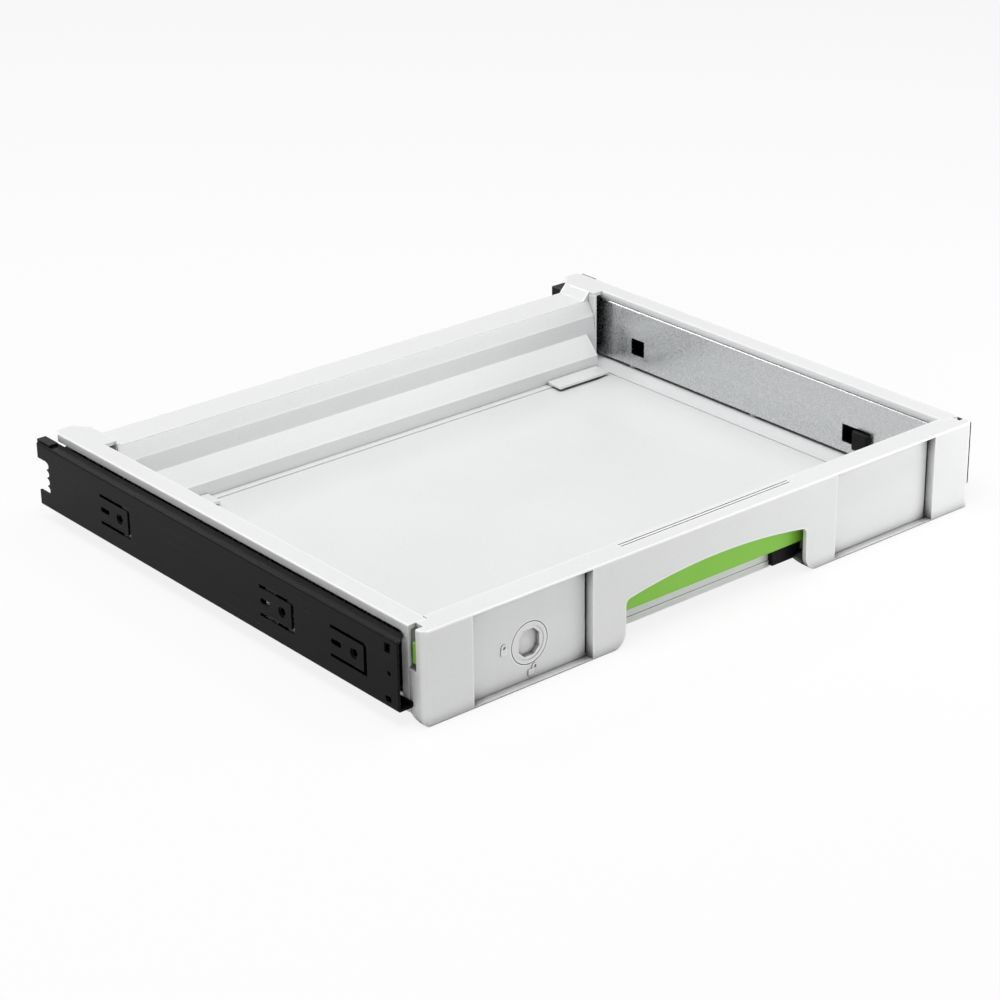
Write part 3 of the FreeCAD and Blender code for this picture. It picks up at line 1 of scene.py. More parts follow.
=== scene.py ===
# %% [markdown]
# # A tool cabinet drawer on its slides
#
# A drawer unit is a moulded tray with a handled front, hung between two steel slides.
# The construction model already holds every part in its place, so this scene dresses it:
# it gives each part its finish, and it makes again, in finer form, the small parts that repeat.
# The file is one script, to be read from top to bottom, and its cells print what they make.

# %% Load the construction model
import bmesh
import bpy
import json
import math
from mathutils import Matrix, Vector


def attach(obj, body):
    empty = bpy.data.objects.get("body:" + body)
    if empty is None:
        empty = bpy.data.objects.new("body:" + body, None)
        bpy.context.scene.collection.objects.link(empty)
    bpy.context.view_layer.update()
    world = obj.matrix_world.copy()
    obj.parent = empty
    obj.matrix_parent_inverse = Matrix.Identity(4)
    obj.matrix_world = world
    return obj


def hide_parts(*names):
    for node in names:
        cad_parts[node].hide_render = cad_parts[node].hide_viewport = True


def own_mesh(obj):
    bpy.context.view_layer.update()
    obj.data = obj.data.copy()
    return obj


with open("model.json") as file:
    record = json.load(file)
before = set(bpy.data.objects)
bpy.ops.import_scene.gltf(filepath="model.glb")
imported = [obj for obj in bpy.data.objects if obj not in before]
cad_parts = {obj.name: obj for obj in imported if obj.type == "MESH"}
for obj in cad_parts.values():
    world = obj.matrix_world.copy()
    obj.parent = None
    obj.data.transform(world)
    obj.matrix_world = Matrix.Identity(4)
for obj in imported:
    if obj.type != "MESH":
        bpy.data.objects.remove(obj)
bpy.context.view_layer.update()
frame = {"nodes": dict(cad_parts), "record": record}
MM = 0.001
nodes = frame["nodes"]

# %% [markdown]
# ## The camera
#
# The drawer is seen from its front left corner and a little above. A long lens keeps its
# sides nearly parallel, as a product photographer would. The camera could be aimed with a
# constraint, but a rotation matrix made from azimuth, elevation and roll is exact and leaves
# nothing live in the scene.

# %% Place the camera
AZIMUTH = math.radians(-39.729)
ELEVATION = math.radians(24.320)
ROLL = math.radians(-0.7755)
LENS_MM = 99.51
CAMERA_PLACE = Vector((-0.9826, -1.1723, 0.6976))

backward = Vector((
    math.sin(AZIMUTH) * math.cos(ELEVATION),
    -math.cos(AZIMUTH) * math.cos(ELEVATION),
    math.sin(ELEVATION),
))
level_right = (-backward).cross(Vector((0, 0, 1))).normalized()
level_up = level_right.cross(-backward)
right = level_right * math.cos(ROLL) + level_up * math.sin(ROLL)
up = level_up * math.cos(ROLL) - level_right * math.sin(ROLL)

lens = bpy.data.cameras.new("drawer_camera")
lens.sensor_fit = "HORIZONTAL"
lens.sensor_width = 36
lens.lens = LENS_MM
lens.clip_start = 0.05
lens.clip_end = 50
camera = bpy.data.objects.new("drawer_camera", lens)
facing = Matrix((right, up, backward)).transposed().to_4x4()
camera.matrix_world = Matrix.Translation(CAMERA_PLACE) @ facing
bpy.context.scene.collection.objects.link(camera)
bpy.context.scene.camera = camera
bpy.context.scene.view_settings.view_transform = "Standard"
print("camera looks along", [round(part, 3) for part in -backward])

# %% [markdown]
# ## Helpers for node trees
#
# Shaders and Geometry Nodes are both graphs. Five small helpers keep their code readable: they
# add a node with its settings, fill or link one input, make a group with named inputs and
# outputs, do a sum, and stretch a value from one range to another.


# %% Helpers for node trees
def add(tree, kind, settings=None, **inputs):
    """Add a node, set its properties, and fill or link its inputs by name."""
    made = tree.nodes.new(kind)
    for name, setting in (settings or {}).items():
        setattr(made, name, setting)
    for name, source in inputs.items():
        plug(tree, made, name.replace("_", " "), source)
    return made


def plug(tree, made, name, source):
    """Fill the named input with a value, or link it to another node's output."""
    place = int(name[3:]) if name.startswith("in ") else name
    if isinstance(source, bpy.types.NodeSocket):
        tree.links.new(source, made.inputs[place])
    else:
        made.inputs[place].default_value = source


def group_of(name, kind, takes, gives):
    """A node group with named sockets, and the nodes that stand for its two ends."""
    tree = bpy.data.node_groups.new(name, kind)
    for label, socket, standard in takes:
        made = tree.interface.new_socket(label, in_out="INPUT", socket_type=socket)
        if standard is not None:
            made.default_value = standard
    for label, socket in gives:
        tree.interface.new_socket(label, in_out="OUTPUT", socket_type=socket)
    start, end = tree.nodes.new("NodeGroupInput"), tree.nodes.new("NodeGroupOutput")
    return tree, start.outputs, end.inputs


def arithmetic(tree, action, first, second=0.0, third=0.0):
    """One sum, as a node."""
    made = add(tree, "ShaderNodeMath", {"operation": action})
    for place, source in enumerate((first, second, third)):
        plug(tree, made, f"in {place}", source)
    return made.outputs[0]


def spread(tree, source, low, high, new_low, new_high):
    """Stretch a value from one range to another."""
    made = add(tree, "ShaderNodeMapRange", {"clamp": True}, Value=source, From_Min=low,
               From_Max=high, To_Min=new_low, To_Max=new_high)
    return made.outputs["Result"]


# %% [markdown]
# ## Effects that several finishes share
#
# A real moulding or pressing never has knife edges, and it is never quite even. Each such
# effect is a shader group, built once: a soft edge, the fine grain that a spark-eroded mould
# leaves, the faint unevenness of a handled surface, and the crystal pattern of hot-dip zinc.
# The soft edge uses the Bevel node, which rounds the shading without adding faces. The patterns
# are noise and Voronoi textures, whose scale is one over the real size of their features.

# %% Group: soft edge
soft_edge, given, result = group_of(
    "Soft edge", "ShaderNodeTree",
    [("Radius", "NodeSocketFloat", 0.4 * MM)],
    [("Normal", "NodeSocketVector")],
)
rounding = add(soft_edge, "ShaderNodeBevel", {"samples": 5}, Radius=given["Radius"])
soft_edge.links.new(rounding.outputs["Normal"], result["Normal"])

# %% Group: moulded grain
moulded_grain, given, result = group_of(
    "Moulded grain", "ShaderNodeTree",
    [("Vector", "NodeSocketVector", None), ("Grain Size", "NodeSocketFloat", 0.5 * MM)],
    [("Height", "NodeSocketFloat"), ("Tone", "NodeSocketFloat")],
)
fineness = arithmetic(moulded_grain, "DIVIDE", 1.0, given["Grain Size"])
pits = add(moulded_grain, "ShaderNodeTexNoise", {"noise_dimensions": "3D"},
           Vector=given["Vector"], Scale=fineness, Detail=2.0, Roughness=0.55)
cells = add(moulded_grain, "ShaderNodeTexVoronoi", {"feature": "SMOOTH_F1"},
            Vector=given["Vector"], Scale=fineness, Smoothness=0.6)
both = arithmetic(moulded_grain, "MULTIPLY_ADD", cells.outputs["Distance"], 0.5,
                  pits.outputs["Fac"])
moulded_grain.links.new(both, result["Height"])
moulded_grain.links.new(spread(moulded_grain, both, 0.45, 1.05, 0.0, 1.0), result["Tone"])

# %% Group: handled surface
MARK_SCALE = 260.0                 # fine marks in a metre, along x
MARK_STRETCH = (1.0, 14.0, 6.0)    # they lie closer across than along, so they look drawn out
MARK_TURN = (0.0, 0.0, 0.3)        # and a little askew, as a cloth moves

handled, given, result = group_of(
    "Handled surface", "ShaderNodeTree",
    [("Vector", "NodeSocketVector", None), ("Patch Size", "NodeSocketFloat", 60 * MM)],
    [("Patches", "NodeSocketFloat"), ("Fine Marks", "NodeSocketFloat")],
)
patch_scale = arithmetic(handled, "DIVIDE", 1.0, given["Patch Size"])
patches = add(handled, "ShaderNodeTexNoise", Vector=given["Vector"], Scale=patch_scale,
              Detail=3.0)
stretch = add(handled, "ShaderNodeMapping", Vector=given["Vector"], Scale=MARK_STRETCH,
              Rotation=MARK_TURN)
marks = add(handled, "ShaderNodeTexNoise", Vector=stretch.outputs["Vector"], Scale=MARK_SCALE,
            Detail=4.0)
handled.links.new(patches.outputs["Fac"], result["Patches"])
handled.links.new(spread(handled, marks.outputs["Fac"], 0.52, 0.78, 0.0, 1.0), result["Fine Marks"])

# %% Group: zinc spangle
RAGGED_PUSH = 3.5 * MM     # how far noise pushes the crystals' borders about
RAGGED_SCALE = 420.0
SPECKLE_SCALE = 1400.0

spangle, given, result = group_of(
    "Zinc spangle", "ShaderNodeTree",
    [("Vector", "NodeSocketVector", None), ("Crystal Size", "NodeSocketFloat", 5 * MM)],
    [("Tone", "NodeSocketFloat"), ("Speckle", "NodeSocketFloat")],
)
crystal_scale = arithmetic(spangle, "DIVIDE", 1.0, given["Crystal Size"])
ragged = add(spangle, "ShaderNodeTexNoise", Vector=given["Vector"], Scale=RAGGED_SCALE,
             Detail=3.0)
pushed = add(spangle, "ShaderNodeVectorMath", {"operation": "MULTIPLY_ADD"})
spangle.links.new(ragged.outputs["Color"], pushed.inputs[0])
pushed.inputs[1].default_value = (RAGGED_PUSH,) * 3
spangle.links.new(given["Vector"], pushed.inputs[2])
crystals = add(spangle, "ShaderNodeTexVoronoi", {"feature": "F1"},
               Vector=pushed.outputs["Vector"], Scale=crystal_scale)
shade = add(spangle, "ShaderNodeSeparateColor", Color=crystals.outputs["Color"])
speckle = add(spangle, "ShaderNodeTexNoise", Vector=given["Vector"], Scale=SPECKLE_SCALE,
              Detail=2.0)
spangle.links.new(shade.outputs["Red"], result["Tone"])
dots = spread(spangle, speckle.outputs["Fac"], 0.35, 0.7, 0.0, 1.0)
spangle.links.new(dots, result["Speckle"])

# %% [markdown]
# Little light gets into the places that a cloth can't reach. The next
# shared group finds such places with ambient occlusion: it looks how open the surface is
# within a few millimetres. The finishes darken their base colour with it in slots and joints, as
# painted shade.

# %% Group: crevices, for painted shade
crevices, given, result = group_of(
    "Crevices", "ShaderNodeTree",
    [("Reach", "NodeSocketFloat", 9 * MM), ("Closed At", "NodeSocketFloat", 0.15),
     ("Open At", "NodeSocketFloat", 0.62)],
    [("Open", "NodeSocketFloat")],
)
# How open the surface is; the finishes turn the closed part into painted shade.
openness = add(crevices, "ShaderNodeAmbientOcclusion", {"samples": 5}, Distance=given["Reach"])
opened = add(crevices, "ShaderNodeMapRange", {"clamp": True, "interpolation_type": "SMOOTHSTEP"},
             Value=openness.outputs["AO"], From_Min=given["Closed At"], From_Max=given["Open At"])
crevices.links.new(opened.outputs["Result"], result["Open"])

# %% [markdown]
# An outer edge of a moulding is polished by every hand and cloth that passes, so it is smoother,
# and the light grey finishes also paint it white as a thin painted highlight. The rounded normal
# differs from the true one only at an edge, and an edge with open space around it is an outer one,
# so those two tests make the mask.

# %% Group: polished edges and painted highlight
SAME_NORMAL, TURNED_NORMAL = 0.998, 0.984    # how well the two normals agree, flat and at an edge
HEMMED_IN, IN_THE_OPEN = 0.80, 0.95          # how open the surface is, in a corner and outside

polish_and_highlight_edges, given, result = group_of(
    "Polished edges and painted highlight", "ShaderNodeTree",
    [("Radius", "NodeSocketFloat", 1.7 * MM), ("Reach", "NodeSocketFloat", 3 * MM)],
    [("Edge", "NodeSocketFloat")],
)
rounding = add(polish_and_highlight_edges, "ShaderNodeBevel", {"samples": 4}, Radius=given["Radius"])
true_normal = polish_and_highlight_edges.nodes.new("ShaderNodeNewGeometry").outputs["True Normal"]
agreement = add(polish_and_highlight_edges, "ShaderNodeVectorMath", {"operation": "DOT_PRODUCT"})
polish_and_highlight_edges.links.new(rounding.outputs["Normal"], agreement.inputs[0])
polish_and_highlight_edges.links.new(true_normal, agreement.inputs[1])
turned = spread(polish_and_highlight_edges, agreement.outputs["Value"], SAME_NORMAL, TURNED_NORMAL, 0.0, 1.0)
around = add(polish_and_highlight_edges, "ShaderNodeAmbientOcclusion", {"samples": 4}, Distance=given["Reach"])
outer = spread(polish_and_highlight_edges, around.outputs["AO"], HEMMED_IN, IN_THE_OPEN, 0.0, 1.0)
polish_and_highlight_edges.links.new(arithmetic(polish_and_highlight_edges, "MULTIPLY", turned, outer), result["Edge"])
print("shared effects:", [tree.name for tree in (
    soft_edge, moulded_grain, handled, spangle, crevices, polish_and_highlight_edges)])


# %% [markdown]
# ## Finishes
#
# Every finish starts the same way: a Principled shader, the object's own coordinates, and the
# soft edge on its normal. The pattern groups then vary base colour, roughness and height.

# %% Start a finish
MIX_FACTOR, MIX_FIRST, MIX_SECOND, MIX_RESULT = 0, 6, 7, 2    # a Mix node's sockets for colours


def place_group(tree, group, **inputs):
    """A shared effect, put into a material. It gives the group's outputs."""
    made = add(tree, "ShaderNodeGroup", {"node_tree": group})
    for name, source in inputs.items():
        plug(tree, made, name.replace("_", " "), source)
    return made.outputs


def start_finish(name, edge, **principled):
    """A material with its shader, its coordinates and the soft edge's normal."""
    material = bpy.data.materials.new(name)
    material.use_nodes = True
    tree = material.node_tree
    shader = tree.nodes["Principled BSDF"]
    for label, setting in principled.items():
        shader.inputs[label.replace("_", " ")].default_value = setting
    where = tree.nodes.new("ShaderNodeTexCoord").outputs["Object"]
    normal = place_group(tree, soft_edge, Radius=edge)["Normal"]
    tree.links.new(normal, shader.inputs["Normal"])
    return material, tree, shader, where, normal


def between(tree, mask, low, high):
    """A colour between two others, led by a mask."""
    made = add(tree, "ShaderNodeMix", {"data_type": "RGBA"})
    for place, source in ((MIX_FACTOR, mask), (MIX_FIRST, low), (MIX_SECOND, high)):
        if isinstance(source, tuple):
            made.inputs[place].default_value = (*source, 1.0)
        else:
            tree.links.new(source, made.inputs[place])
    return made.outputs[MIX_RESULT]


def tint(tree, shader, mask, low, high, painted_shade=None, **depth):
    """Base colour between two tones, with painted shade in crevices where a shade colour is given.
    """
    colour = between(tree, mask, low, high)
    # Painted shade: the colour darkens towards the given one where ambient occlusion finds a
    # hollow.
    if painted_shade is not None:
        colour = between(tree, place_group(tree, crevices, **depth)["Open"], painted_shade, colour)
    tree.links.new(colour, shader.inputs["Base Color"])


def roughen(tree, shader, mask, low, high):
    """Roughness between two values, led by a mask."""
    tree.links.new(spread(tree, mask, 0.0, 1.0, low, high), shader.inputs["Roughness"])


def emboss(tree, shader, height, normal, depth):
    """Relief from a height, laid over the soft edge's normal."""
    made = add(tree, "ShaderNodeBump", Height=height, Normal=normal, Distance=depth, Strength=1.0)
    tree.links.new(made.outputs["Normal"], shader.inputs["Normal"])


# %% [markdown]
# ### Light grey plastic
#
# The tray and its front are moulded in light grey plastic. The front has the fine stipple of
# an eroded mould, which hides finger marks. The tray is smoother, so that it wipes clean, and
# it shows faint scuffs from the cases that slide in and out. Both have painted shade in the joints
# between mouldings, darkest deep in a slot, and their outer edges are smoother and painted white as
# a highlight.

# %% Finish: light grey plastic
GREYS = (0.735, 0.740, 0.742), (0.815, 0.818, 0.820)
# The joint and slot greys are painted shade where ambient occlusion finds a hollow; the edge white
# is a painted highlight.
JOINT_SHADE_GREY = (0.26, 0.26, 0.262)
SLOT_SHADE_GREY = (0.03, 0.03, 0.031)
EDGE_HIGHLIGHT_WHITE = (1.0, 1.0, 1.0)
EDGE_POLISH = 0.6   # share of the roughness that an outer edge loses


def light_plastic(name, grain_size, grain_depth, rough_low, rough_high, **depth):
    """A light grey plastic with painted shade in its joints and slots and a painted white highlight
    on its outer edges. Depth says how far and how deep its painted slot shade reaches.
    """
    material, tree, shader, where, normal = start_finish(name, 0.45 * MM, IOR=1.5)
    grain = place_group(tree, moulded_grain, Vector=where, Grain_Size=grain_size)
    wear = place_group(tree, handled, Vector=where, Patch_Size=90 * MM)
    mottled = arithmetic(tree, "MULTIPLY_ADD", grain["Tone"], 0.6, wear["Patches"])
    marked = arithmetic(tree, "MULTIPLY_ADD", wear["Fine Marks"], -0.12, mottled)
    plain = between(tree, marked, *GREYS)
    # Painted shade: tight joints darken towards the joint grey, and slots, in tint below, towards
    # the slot grey.
    joint_shade = place_group(tree, crevices, Reach=1.5 * MM, Closed_At=0.30, Open_At=0.80)["Open"]
    edge = place_group(tree, polish_and_highlight_edges)["Edge"]
    # Painted highlight: outer edges turn white. Their lower roughness below is real polish.
    highlighted = between(tree, edge, plain, EDGE_HIGHLIGHT_WHITE)
    tint(tree, shader, joint_shade, JOINT_SHADE_GREY, highlighted, painted_shade=SLOT_SHADE_GREY, **depth)
    scuffed = arithmetic(tree, "MULTIPLY_ADD", wear["Fine Marks"], 0.3, wear["Patches"])
    dull = spread(tree, scuffed, 0.0, 1.0, rough_low, rough_high)
    smoothed = arithmetic(tree, "MULTIPLY_ADD", edge, -EDGE_POLISH, 1.0)
    tree.links.new(arithmetic(tree, "MULTIPLY", dull, smoothed), shader.inputs["Roughness"])
    emboss(tree, shader, grain["Height"], normal, grain_depth)
    return material


# The reach and the two thresholds set how far each finish's painted slot shade spreads.
grained_grey = light_plastic("grained_grey_plastic", 0.65 * MM, 0.07 * MM, 0.44, 0.60,
                             Reach=13 * MM, Closed_At=0.36, Open_At=0.68)
smooth_grey = light_plastic("smooth_grey_plastic", 0.9 * MM, 0.012 * MM, 0.30, 0.46,
                            Reach=9 * MM, Closed_At=0.08, Open_At=0.50)

# %% [markdown]
# ### Green and black plastic
#
# The release bar is bright green, to show where to pull. The small blocks and clips are black,
# glass-filled plastic with a little sheen from their polished moulds.

# %% Finish: green plastic
GREENS = (0.205, 0.545, 0.034), (0.275, 0.640, 0.056)
# The dark green below is painted shade, laid in crevices where ambient occlusion finds a hollow.
GREEN_PAINTED_SHADE = (0.06, 0.14, 0.015)

green_plastic, tree, shader, where, normal = start_finish("green_plastic", 0.4 * MM, IOR=1.5)
grain = place_group(tree, moulded_grain, Vector=where, Grain_Size=0.5 * MM)
wear = place_group(tree, handled, Vector=where, Patch_Size=40 * MM)
mottled = arithmetic(tree, "MULTIPLY_ADD", grain["Tone"], 0.3, wear["Patches"])
tint(tree, shader, mottled, *GREENS, painted_shade=GREEN_PAINTED_SHADE, Reach=5 * MM)
roughen(tree, shader, wear["Patches"], 0.34, 0.50)
emboss(tree, shader, grain["Height"], normal, 0.015 * MM)

# %% Finish: black plastic
BLACKS = (0.003, 0.003, 0.003), (0.006, 0.006, 0.006)

black_plastic, tree, shader, where, normal = start_finish(
    "black_plastic", 0.35 * MM, IOR=1.5, Specular_IOR_Level=0.15)
grain = place_group(tree, moulded_grain, Vector=where, Grain_Size=0.4 * MM)
wear = place_group(tree, handled, Vector=where, Patch_Size=25 * MM)
tint(tree, shader, grain["Tone"], *BLACKS)
roughen(tree, shader, wear["Patches"], 0.34, 0.58)
emboss(tree, shader, grain["Height"], normal, 0.02 * MM)

# %% [markdown]
# ### Black coated steel
#
# The slides that face the cabinet are dipped in black paint, drawn on by an electric current.
# The coat is thin and glossy and flows together with a faint orange peel. Balls and cages rub
# it, so it turns greyer in fine streaks along the travel.

# %% Finish: black coated steel
PAINTS = (0.003, 0.003, 0.003), (0.009, 0.009, 0.009)
PEEL_SCALE = 330.0
STREAK_SCALE = (900.0, 9.0, 900.0)    # a hundred times longer along the travel than across

black_steel, tree, shader, where, normal = start_finish(
    "black_coated_steel", 0.35 * MM, IOR=1.5, Specular_IOR_Level=0.08)
peel = add(tree, "ShaderNodeTexNoise", Vector=where, Scale=PEEL_SCALE, Detail=1.0)
wear = place_group(tree, handled, Vector=where, Patch_Size=35 * MM)
along = add(tree, "ShaderNodeMapping", Vector=where, Scale=STREAK_SCALE)
streaks = add(tree, "ShaderNodeTexNoise", Vector=along.outputs["Vector"], Scale=1.0, Detail=3.0)
rubbed = spread(tree, streaks.outputs["Fac"], 0.50, 0.80, 0.0, 1.0)
tint(tree, shader, rubbed, *PAINTS)
scuffed = arithmetic(tree, "MULTIPLY_ADD", rubbed, 0.35, wear["Patches"])
roughen(tree, shader, scuffed, 0.16, 0.30)
emboss(tree, shader, peel.outputs["Fac"], normal, 0.008 * MM)

# %% [markdown]
# ### Bare and zinc-coated steel
#
# The drawer rail is cut from hot-dip galvanised sheet. Zinc freezes on it in crystals, each of
# which reflects a little differently, so the plate looks faintly mottled. Cages and screws have
# a thin bright plating, and the balls are ground and polished.

# %% Finish: galvanised sheet
ZINCS = (0.54, 0.55, 0.56), (0.65, 0.66, 0.67)

galvanised, tree, shader, where, normal = start_finish(
    "galvanised_sheet", 0.3 * MM, Metallic=1.0)
zinc = place_group(tree, spangle, Vector=where, Crystal_Size=1.3 * MM)
wear = place_group(tree, handled, Vector=where, Patch_Size=45 * MM)
mixed = arithmetic(tree, "MULTIPLY_ADD", zinc["Speckle"], 0.45,
                   arithmetic(tree, "MULTIPLY", zinc["Tone"], 0.55))
tint(tree, shader, mixed, *ZINCS)
dulled = arithmetic(tree, "MULTIPLY_ADD", wear["Patches"], 0.5,
                    arithmetic(tree, "MULTIPLY", zinc["Tone"], 0.5))
roughen(tree, shader, dulled, 0.20, 0.36)
emboss(tree, shader, mixed, normal, 0.005 * MM)

# %% Finish: plated and polished steel
def plated(name, dark, light, rough_low, rough_high):
    """A bright metal with two tones, and a roughness from low to high where it was touched."""
    material, tree, shader, where, normal = start_finish(name, 0.2 * MM, Metallic=1.0)
    wear = place_group(tree, handled, Vector=where, Patch_Size=12 * MM)
    tint(tree, shader, wear["Patches"], dark, light)
    touched = arithmetic(tree, "MULTIPLY_ADD", wear["Fine Marks"], 0.4, wear["Patches"])
    roughen(tree, shader, touched, rough_low, rough_high)
    emboss(tree, shader, wear["Fine Marks"], normal, 0.004 * MM)
    return material


plated_steel = plated("plated_steel", (0.52, 0.53, 0.53), (0.68, 0.68, 0.67), 0.24, 0.42)
spring_steel = plated("spring_steel", (0.34, 0.34, 0.34), (0.50, 0.50, 0.49), 0.28, 0.40)
polished_steel = plated("polished_steel", (0.66, 0.67, 0.68), (0.78, 0.78, 0.79), 0.06, 0.14)
print("finishes:", [finish.name for finish in (
    grained_grey, smooth_grey, green_plastic, black_plastic, black_steel, galvanised,
    plated_steel, spring_steel, polished_steel)])

# %% [markdown]
# ## Dress the construction parts
#
# The construction solids already have the right shape, down to their pockets and slots, so they
# stay. Each gets its finish in its own material slot, by the kind of material that its record
# names. The front and the dial have the grained grey, and the tray the smooth one.

# %% Dress the construction parts
FINISH_OF_SLOT = {
    "light_plastic": smooth_grey, "green_plastic": green_plastic, "black_plastic": black_plastic,
    "black_steel": black_steel, "rivet_steel": black_steel, "bare_steel": plated_steel,
    "ball_steel": polished_steel, "galvanised": galvanised, "spring_steel": spring_steel,
    "screw_steel": plated_steel,
}
GRAINED = ("front_panel", "lock_dial")
slot_of = {part["node"]: part["material_slot"] for part in frame["record"]["subparts"]}
for name, part in nodes.items():
    finish = grained_grey if name in GRAINED else FINISH_OF_SLOT[slot_of[name]]
    part.data.materials.clear()
    part.data.materials.append(finish)
print("dressed", len(nodes), "construction parts")


# %% [markdown]
# ## Parts that repeat
#
# Balls, rivets and screws are many copies of one shape, which is what Geometry Nodes do best.
# The points come from the construction model: the middle of each separate solid of a node.
# A tree puts one shape on each point, makes the copies real and sets their material.

# %% Find the separate solids of a node
WELD = 1e-6    # metres: points nearer to each other than this are one


def solids_of(name):
    """Lowest and highest corner of each separate solid of a construction part."""
    shell = bmesh.new()
    shell.from_mesh(nodes[name].data)
    bmesh.ops.remove_doubles(shell, verts=shell.verts, dist=WELD)
    waiting, found = set(shell.verts), []
    while waiting:
        front = [waiting.pop()]
        low, high = front[0].co.copy(), front[0].co.copy()
        while front:
            here = front.pop()
            low = Vector(map(min, low, here.co))
            high = Vector(map(max, high, here.co))
            for edge in here.link_edges:
                other = edge.other_vert(here)
                if other in waiting:
                    waiting.remove(other)
                    front.append(other)
        found.append((low, high))
    shell.free()
    return sorted(found, key=lambda corners: tuple(corners[0]))


def points_at(name, places, aims):
    """An object that is only points, each with the direction that its copy looks in."""
    cloud = bpy.data.meshes.new(name)
    cloud.from_pydata([tuple(place) for place in places], [], [])
    aim = cloud.attributes.new("aim", "FLOAT_VECTOR", "POINT")
    for slot, direction in zip(aim.data, aims):
        slot.vector = direction
    made = bpy.data.objects.new(name, cloud)
    bpy.context.scene.collection.objects.link(made)
    return made


# %% Turn a tree into a plain mesh
SHARP_FROM = math.radians(40)


def grow(name, places, tree, body, replaced, aims=None, **settings):
    """Run a Geometry Nodes tree on the places, keep its mesh, and let it stand for a node."""
    made = points_at(name, places, aims or [(0, 0, 1)] * len(places))
    live = made.modifiers.new("grow", "NODES")
    live.node_group = tree
    inputs = {item.name: item.identifier for item in tree.interface.items_tree
              if item.in_out == "INPUT"}
    for label, setting in settings.items():
        live[inputs[label.replace("_", " ")]] = setting
    graph = bpy.context.evaluated_depsgraph_get()
    mesh = bpy.data.meshes.new_from_object(made.evaluated_get(graph), depsgraph=graph)
    made.modifiers.remove(live)
    made.data = mesh
    mesh.name = name
    mesh.set_sharp_from_angle(angle=SHARP_FROM)
    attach(made, body)
    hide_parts(replaced)
    print(f"{name}: {len(places)} pieces, {len(mesh.polygons)} faces")


def body_with(name):
    """The moving body that a node belongs to."""
    bodies = frame["record"]["behaviour"]["bodies"]
    return next(body for body, members in bodies.items() if name in members)


# %% [markdown]
# ### Balls
#
# A slide of this kind runs on hardened balls, held apart by a cage. Each ball is a fine
# icosphere, which has no poles and so no pinched highlights.

# %% Tree: balls on points
BALL_FINENESS = 4

balls, given, result = group_of(
    "Balls on points", "GeometryNodeTree",
    [("Geometry", "NodeSocketGeometry", None), ("Radius", "NodeSocketFloat", 2.4 * MM),
     ("Finish", "NodeSocketMaterial", None)],
    [("Geometry", "NodeSocketGeometry")],
)
sphere = add(balls, "GeometryNodeMeshIcoSphere", Radius=given["Radius"],
             Subdivisions=BALL_FINENESS)
smooth = add(balls, "GeometryNodeSetShadeSmooth", Geometry=sphere.outputs["Mesh"],
             Shade_Smooth=True)
copies = add(balls, "GeometryNodeInstanceOnPoints", Points=given["Geometry"],
             Instance=smooth.outputs["Geometry"])
real = add(balls, "GeometryNodeRealizeInstances", Geometry=copies.outputs["Instances"])
finished = add(balls, "GeometryNodeSetMaterial", Geometry=real.outputs["Geometry"],
               Material=given["Finish"])
balls.links.new(finished.outputs["Geometry"], result["Geometry"])


# %% Put the balls in their cages
def middle(corners):
    """The middle of a box given by two corners."""
    return (corners[0] + corners[1]) / 2


for side in ("left", "right"):
    for ring in ("outer", "inner"):
        node = f"{side}_{ring}_balls"
        found = solids_of(node)
        radius = (found[0][1].z - found[0][0].z) / 2
        grow(f"{side}_{ring}_ball_set", [middle(corners) for corners in found], balls,
             body_with(node), node, Radius=radius, Finish=polished_steel)

# %% [markdown]
# ### Heads, screws and rivets
#
# Screws and rivets both have a domed head: a sphere whose lower half is pressed flat. That is a
# small group of its own. A screw adds a cross recess, cut by two crossed bars with a Mesh
# Boolean, and a tapered shank. A rivet has a head at each end of a plain shank. Both are made
# once, at the origin, pointing up, and every copy is turned to the aim that its point carries.

# %% Group: domed head
domed_head, given, result = group_of(
    "Domed head", "GeometryNodeTree",
    [("Radius", "NodeSocketFloat", 3.2 * MM), ("Height", "NodeSocketFloat", 2.0 * MM)],
    [("Geometry", "NodeSocketGeometry")],
)
dome = add(domed_head, "GeometryNodeMeshUVSphere", Segments=32, Rings=16, Radius=1.0)
where = add(domed_head, "GeometryNodeInputPosition")
parts = add(domed_head, "ShaderNodeSeparateXYZ", Vector=where.outputs["Position"])
above = arithmetic(domed_head, "MAXIMUM", parts.outputs["Z"], 0.0)
pressed = add(domed_head, "ShaderNodeCombineXYZ",
              X=arithmetic(domed_head, "MULTIPLY", parts.outputs["X"], given["Radius"]),
              Y=arithmetic(domed_head, "MULTIPLY", parts.outputs["Y"], given["Radius"]),
              Z=arithmetic(domed_head, "MULTIPLY", above, given["Height"]))
head = add(domed_head, "GeometryNodeSetPosition", Geometry=dome.outputs["Mesh"],
           Position=pressed.outputs["Vector"])
merged = add(domed_head, "GeometryNodeMergeByDistance", Geometry=head.outputs["Geometry"],
             Distance=WELD)
domed_head.links.new(merged.outputs["Geometry"], result["Geometry"])


# %% Pieces that both trees use
def shifted(tree, shape, rise, turn=0.0):
    """A shape moved up its own axis, and turned over where a turn is given."""
    up = add(tree, "ShaderNodeCombineXYZ", Z=rise)
    return add(tree, "GeometryNodeTransform", Geometry=shape,
               Translation=up.outputs["Vector"], Rotation=(turn, 0.0, 0.0)).outputs["Geometry"]


def joined(tree, shapes):
    """Several shapes as one."""
    made = add(tree, "GeometryNodeJoinGeometry")
    for shape in shapes:
        tree.links.new(shape, made.inputs["Geometry"])
    return made.outputs["Geometry"]


